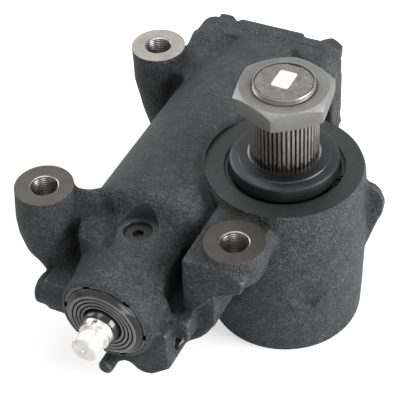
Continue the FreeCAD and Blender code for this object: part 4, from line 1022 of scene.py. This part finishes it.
def part_of(name, node, place, normal, material):
    """Copy of a solid's mesh, closed again where a plane cuts off its outer end."""
    shape = bmesh.new()
    shape.from_mesh(nodes[node].data)
    bmesh.ops.remove_doubles(shape, verts=shape.verts, dist=1e-6)
    geometry = list(shape.verts) + list(shape.edges) + list(shape.faces)
    cut = bmesh.ops.bisect_plane(shape, geom=geometry, dist=1e-6, plane_co=mm(*place),
                                 plane_no=normal, clear_outer=True)
    edges = [e for e in cut["geom_cut"] if isinstance(e, bmesh.types.BMEdge)]
    bmesh.ops.edgenet_fill(shape, edges=edges)
    mesh = bpy.data.meshes.new(name)
    shape.to_mesh(mesh)
    shape.free()
    mesh.materials.clear()
    mesh.materials.append(material)
    mesh.polygons.foreach_set("material_index", [0] * len(mesh.polygons))
    return mesh


def make_shaft():
    """Sector shaft: its toothed lower end as in the solid, its upper end with full detail."""
    start = 12.7
    steel = plain_metal("sector_steel", 160, 0.02, 0.28)
    mesh = part_of("sector_lower", "sector_shaft", (0, 0, start), (0, 0, 1), steel)
    lower = link(mesh, "sector_lower", "sector", ["sector_shaft"])
    smooth(lower.data, 30)

    spline_steel = shaft_steel("spline_steel", 172, 0.05, 19.0, 25.2, 24.3)
    crest, root = 25.4, 23.9
    rings = [(start, crest, root), (53.2, crest, root), (55.4, root + 0.15, root - 0.02),
             (56.4, root - 0.6, root - 0.65)]
    link(serrated(rings, 48, 0.50, 0.16, 2, UPRIGHT, spline_steel), "shaft_splines", "sector", ())

    thread_steel = turned_metal("thread_steel", 150, 0.04, 0.36, UPRIGHT, 2, 0.4, 0.8)
    outline = [(0, 56.4), (23.0, 56.4), (23.0, 57.0), (21.3, 57.2), (21.3, 59.0), (22.5, 60.0),
               (22.5, 72.4)]
    level = 72.4
    while level < 75.0:
        outline += [(22.45, level + 0.15), (21.7, level + 0.75), (22.45, level + 1.35)]
        level += 1.5
    outline += [(22.45, SHAFT_TOP - 0.5), (22.1, SHAFT_TOP), (21.45, SHAFT_TOP),
                (21.35, SHAFT_TOP - 2.0), (0, SHAFT_TOP - 2.0)]
    thread = link(turned("shaft_thread", outline, 2, UPRIGHT, thread_steel), "shaft_thread",
                  "sector", ())
    smooth(thread.data, 25)

    disc_steel = speckled("disc_steel", 136, 0.04, 0.55)
    top = SHAFT_TOP - 0.35
    disc = turned("shaft_disc", [(0, top - 5), (20.6, top - 5), (20.6, top - 0.25), (20.35, top),
                                 (0, top)], 2, UPRIGHT, disc_steel)
    disc = link(disc, "shaft_disc", "sector", ())
    notch = []
    for k in range(5):
        turn = math.radians(79 + 5 * k)
        notch.append(rod(2, 1.1, top - 1.3, top + 2,
                         (20.3 * math.cos(turn), 20.3 * math.sin(turn), 0), disc_steel))
    carved(disc, notch)
    smooth(disc.data, 30)

    label = paper("blank_sticker", 245)
    corners = [(-7.5, -7.2), (5.7, -7.7), (5.9, 11.6), (-7.3, 11.6)]
    outline = []
    for k, (x, y) in enumerate(corners):
        ends = []
        for a, b in (corners[k - 1], corners[(k + 1) % 4]):
            share = 2.2 / math.hypot(a - x, b - y)
            ends.append((x + (a - x) * share, y + (b - y) * share))
        for step in range(5):
            t = step / 4
            w0, w1, w2 = (1 - t) ** 2, 2 * t * (1 - t), t * t
            outline.append((w0 * ends[0][0] + w1 * x + w2 * ends[1][0],
                            w0 * ends[0][1] + w1 * y + w2 * ends[1][1]))
    sticker = slab_xy(outline, top + 0.01, top + 0.16)
    sticker.materials.append(label)
    link(sticker, "blank_sticker", "sector", ())


def make_shield():
    steel = turned_metal("shield_face", 66, -0.03, 0.38, UPRIGHT, 2, 0.7, 0.9)
    outline = [(27.05, 9.3), (27.05, 12.15), (27.5, 12.35), (33.3, 11.75), (33.9, 11.35),
               (34.2, 10.9), (34.9, 10.7), (38.7, 9.55), (39.6, 9.1), (40.2, 8.5), (40.4, 7.7),
               (40.4, SHIELD_LOW), (38.6, SHIELD_LOW), (38.6, 6.8), (37.4, 8.0), (33.0, 9.3)]
    piece = link(turned("shield", outline, 2, UPRIGHT, steel, 160), "shield", "sector",
                 ["dust_shield"])
    smooth(piece.data, 25)


def make_cover():
    x = CYL_X
    inner, outer = REAR_FACE + 1.0, REAR_FACE + 12.0
    raised = outer + 4.5
    middle = x - 3.75
    plate = slab_xz(FLANGE, inner, outer)
    upright = slab_xz([(middle - 29.5, CYL_Z - 48), (middle + 29.5, CYL_Z - 48),
                       (middle + 29.5, FLANGE_TOP - 0.4), (middle - 29.5, FLANGE_TOP - 0.4)],
                      inner, raised)
    level = slab_xz([(x - 67, CYL_Z - 19), (x + 59.5, CYL_Z - 19), (x + 59.5, CYL_Z + 19),
                     (x - 67, CYL_Z + 19)], inner, raised)
    pilot = rod(1, BORE - 0.6, REAR_FACE - 8, inner + 2, AXIS_Y)
    voxel = 0.95
    cuts = [rod(1, 13.0, outer - 0.4, outer + 12, place, iron) for place in bolt_places()]
    cuts += [rod(1, 6.5, REAR_FACE - 4, outer + 2, place, iron) for place in bolt_places()]
    cast_piece("end_cover", "rear_end_cover", [plate, upright, level, pilot], [],
               (1.4, 1.3, voxel), cuts, 8.0, 2.0)
    bolt_steel = plain_metal("bolt_steel", 58, -0.02, 0.42, 1.0, 0.05, 0.35)
    solids = []
    for k, centre in enumerate(bolt_places()):
        head = link(hex_mesh(19.0, outer + 1.2, outer + 10.0, 12 + 17 * k, 1, centre, bolt_steel),
                    "head_%d" % k, "housing")
        crown = outer + 10.0
        carved(head, [turned("cut", [(8.9, crown), (8.9, crown + 1), (12, crown + 1),
                                     (12, crown - 1.9)], 1, centre, bolt_steel)])
        eased(head, 0.3, 28)
        solids.append(head.data)
        bpy.data.objects.remove(head)
        solids.append(turned("washer", [(0, outer - 0.35), (10.6, outer - 0.35), (10.9, outer),
                                        (10.9, outer + 0.9), (10.4, outer + 1.3), (0, outer + 1.3)],
                             1, centre, bolt_steel, 48))
        solids.append(rod(1, 5.9, REAR_FACE - 20, outer + 1, centre, bolt_steel))
    bolts = link(joined("cover_bolts", solids), "cover_bolts", "housing", ["end_cover_bolts"])
    smooth(bolts.data, 30)


BOOT_R = 30.8


def make_valve_mouth():
    """Adjusting ring and ribbed boot in the valve's mouth."""
    ring_steel = turned_metal("ring_steel", 120, 0.0, 0.36, AXIS_Y, 1, 0.5)
    seat = adjuster_low[1]
    back = adjuster_high[1]
    front = VALVE_FACE + 0.3
    outer = VALVE_MOUTH - 0.05
    collar = BOOT_R + 0.3
    outline = [(19.05, seat), (collar, seat), (collar, front), (outer - 0.4, front),
               (outer, front + 0.5), (outer, back), (17.05, back), (17.05, back - 6),
               (13.4, back - 6), (13.4, seat + 5.7), (19.05, seat + 5.7)]
    ring = link(turned("adjusting_ring", outline, 1, AXIS_Y, ring_steel, 128), "adjusting_ring",
                "housing", ["valve_adjusting_ring"])
    slots = []
    for k in range(6):
        turn = Matrix.Rotation(math.radians(60 * k + 8), 4, "Y")
        slot = block("cut", (collar - 2, front - 1, -3), (outer + 2, front + 4, 3), ring_steel)
        slot.transform(Matrix.Translation(mm(*AXIS_Y)) @ turn)
        slots.append(slot)
    carved(ring, slots)
    smooth(ring.data, 30)

    gloss = rubber("boot_gloss", 13, 0.14, 0.7)
    crest = VALVE_FACE - 4.0
    valley = crest + 2.1
    hub = 12.45
    nose = VALVE_FACE - 10.0
    face = [(hub, nose + 0.3), (hub + 0.5, nose), (hub + 1.2, nose), (hub + 1.6, nose + 0.5),
            (hub + 1.9, valley - 1.2)]
    for k in range(3, -1, -1):
        ridge = 25.65 - 3.1 * k
        face += [(ridge - 1.6, valley), (ridge - 1.1, crest + 0.45), (ridge - 0.85, crest + 0.1),
                 (ridge - 0.3, crest), (ridge + 0.4, crest), (ridge + 0.9, crest + 0.12),
                 (ridge + 1.2, crest + 0.5)]
    face[-1] = (26.9, crest + 0.45)
    face += [(28.4, crest + 1.4), (29.8, crest + 2.5), (30.5, crest + 3.3), (BOOT_R, crest + 4.4)]
    foot = [(BOOT_R, seat - 0.1), (BOOT_R - 3, seat - 0.1), (BOOT_R - 3, crest + 4.2),
            (hub, crest + 4.2)]
    mesh = turned("boot", face + foot, 1, AXIS_Y, gloss, 160)
    # painted highlight: the ribs' crests get a lighter copy of the boot's black rubber
    mesh.materials.append(rubber("boot_crest_highlight", 104, 0.34, 0.5))
    for polygon in mesh.polygons:
        y = polygon.center.y / MM
        if y < crest + 0.3 and math.hypot(polygon.center.x / MM - CYL_X,
                                          polygon.center.z / MM - CYL_Z) > 15:
            polygon.material_index = 1
    boot = link(mesh, "boot", "input", ["input_dust_boot"])
    smooth(boot.data, 50)


def make_stub():
    """Input shaft: its inner end as in the solid, its serrated nose with full detail."""
    bright = turned_metal("stub_steel", 252, 0.02, 0.24, AXIS_Y, 1, 0.3, 0.75)
    tip = STUB_TIP
    part_at = tip + 16.4
    inner = part_of("input_inner", "input_shaft", (0, part_at, 0), (0, -1, 0), bright)
    inner = link(inner, "input_inner", "input", ["input_shaft"])
    smooth(inner.data, 30)
    outline = [(0, tip + 1.6), (1.3, tip + 0.5), (1.6, tip), (8.6, tip), (10.0, tip + 1.0),
               (10.2, tip + 1.4), (10.2, tip + 10.5), (9.0, tip + 11.0), (9.0, tip + 14.0),
               (11.3, tip + 14.2), (11.8, tip + 14.7), (11.8, part_at), (0, part_at)]
    nose = link(turned("stub_nose", outline, 1, AXIS_Y, bright, 128), "stub_nose", "input", ())
    smooth(nose.data, 25)
    rings = [(tip + 1.2, 10.2, 10.1), (tip + 2.4, 10.95, 10.6), (tip + 9.4, 10.95, 10.6),
             (tip + 10.4, 10.2, 10.1)]
    link(serrated(rings, 48, 0.5, 0.2, 1, AXIS_Y, bright), "stub_serrations", "input", ())


for make in (make_casting, make_nut, make_shaft, make_shield, make_cover, make_valve_mouth,
             make_stub):
    make()

# Finishes of the carried-over pieces
finish = {
    "cast_iron_dark": iron,
    "forged_steel": plain_metal("forged_steel", 165, 0.03, 0.34),
    "phosphated_steel": plain_metal("phosphated_steel", 150, 0.0, 0.55, 0.8, 0.05),
    "dark_steel": plain_metal("dark_steel", 40, -0.02, 0.42, 1.0, 0.05, 0.3),
    "shield_steel": turned_metal("shield_steel", 105, 0.0, 0.38, UPRIGHT, 2, 0.6),
    "bright_steel": plain_metal("bright_steel", 235, 0.02, 0.16),
    "hardened_steel": plain_metal("hardened_steel", 160, 0.02, 0.25),
    "bearing_steel": plain_metal("bearing_steel", 200, 0.0, 0.18),
    "valve_steel": plain_metal("valve_steel", 175, 0.02, 0.25),
    "seal_rubber": rubber("seal_rubber", 30, 0.5),
    "seal_plastic": rubber("seal_plastic", 60, 0.4),
    "boot_rubber": rubber("boot_rubber", 22, 0.22, 0.6),
}
slots = {part["node"]: part["material_slot"] for part in frame["record"]["subparts"]}
for name, node in nodes.items():
    for place in node.material_slots:
        place.material = finish[slots[name]]

bpy.context.scene.view_settings.view_transform = "Standard"
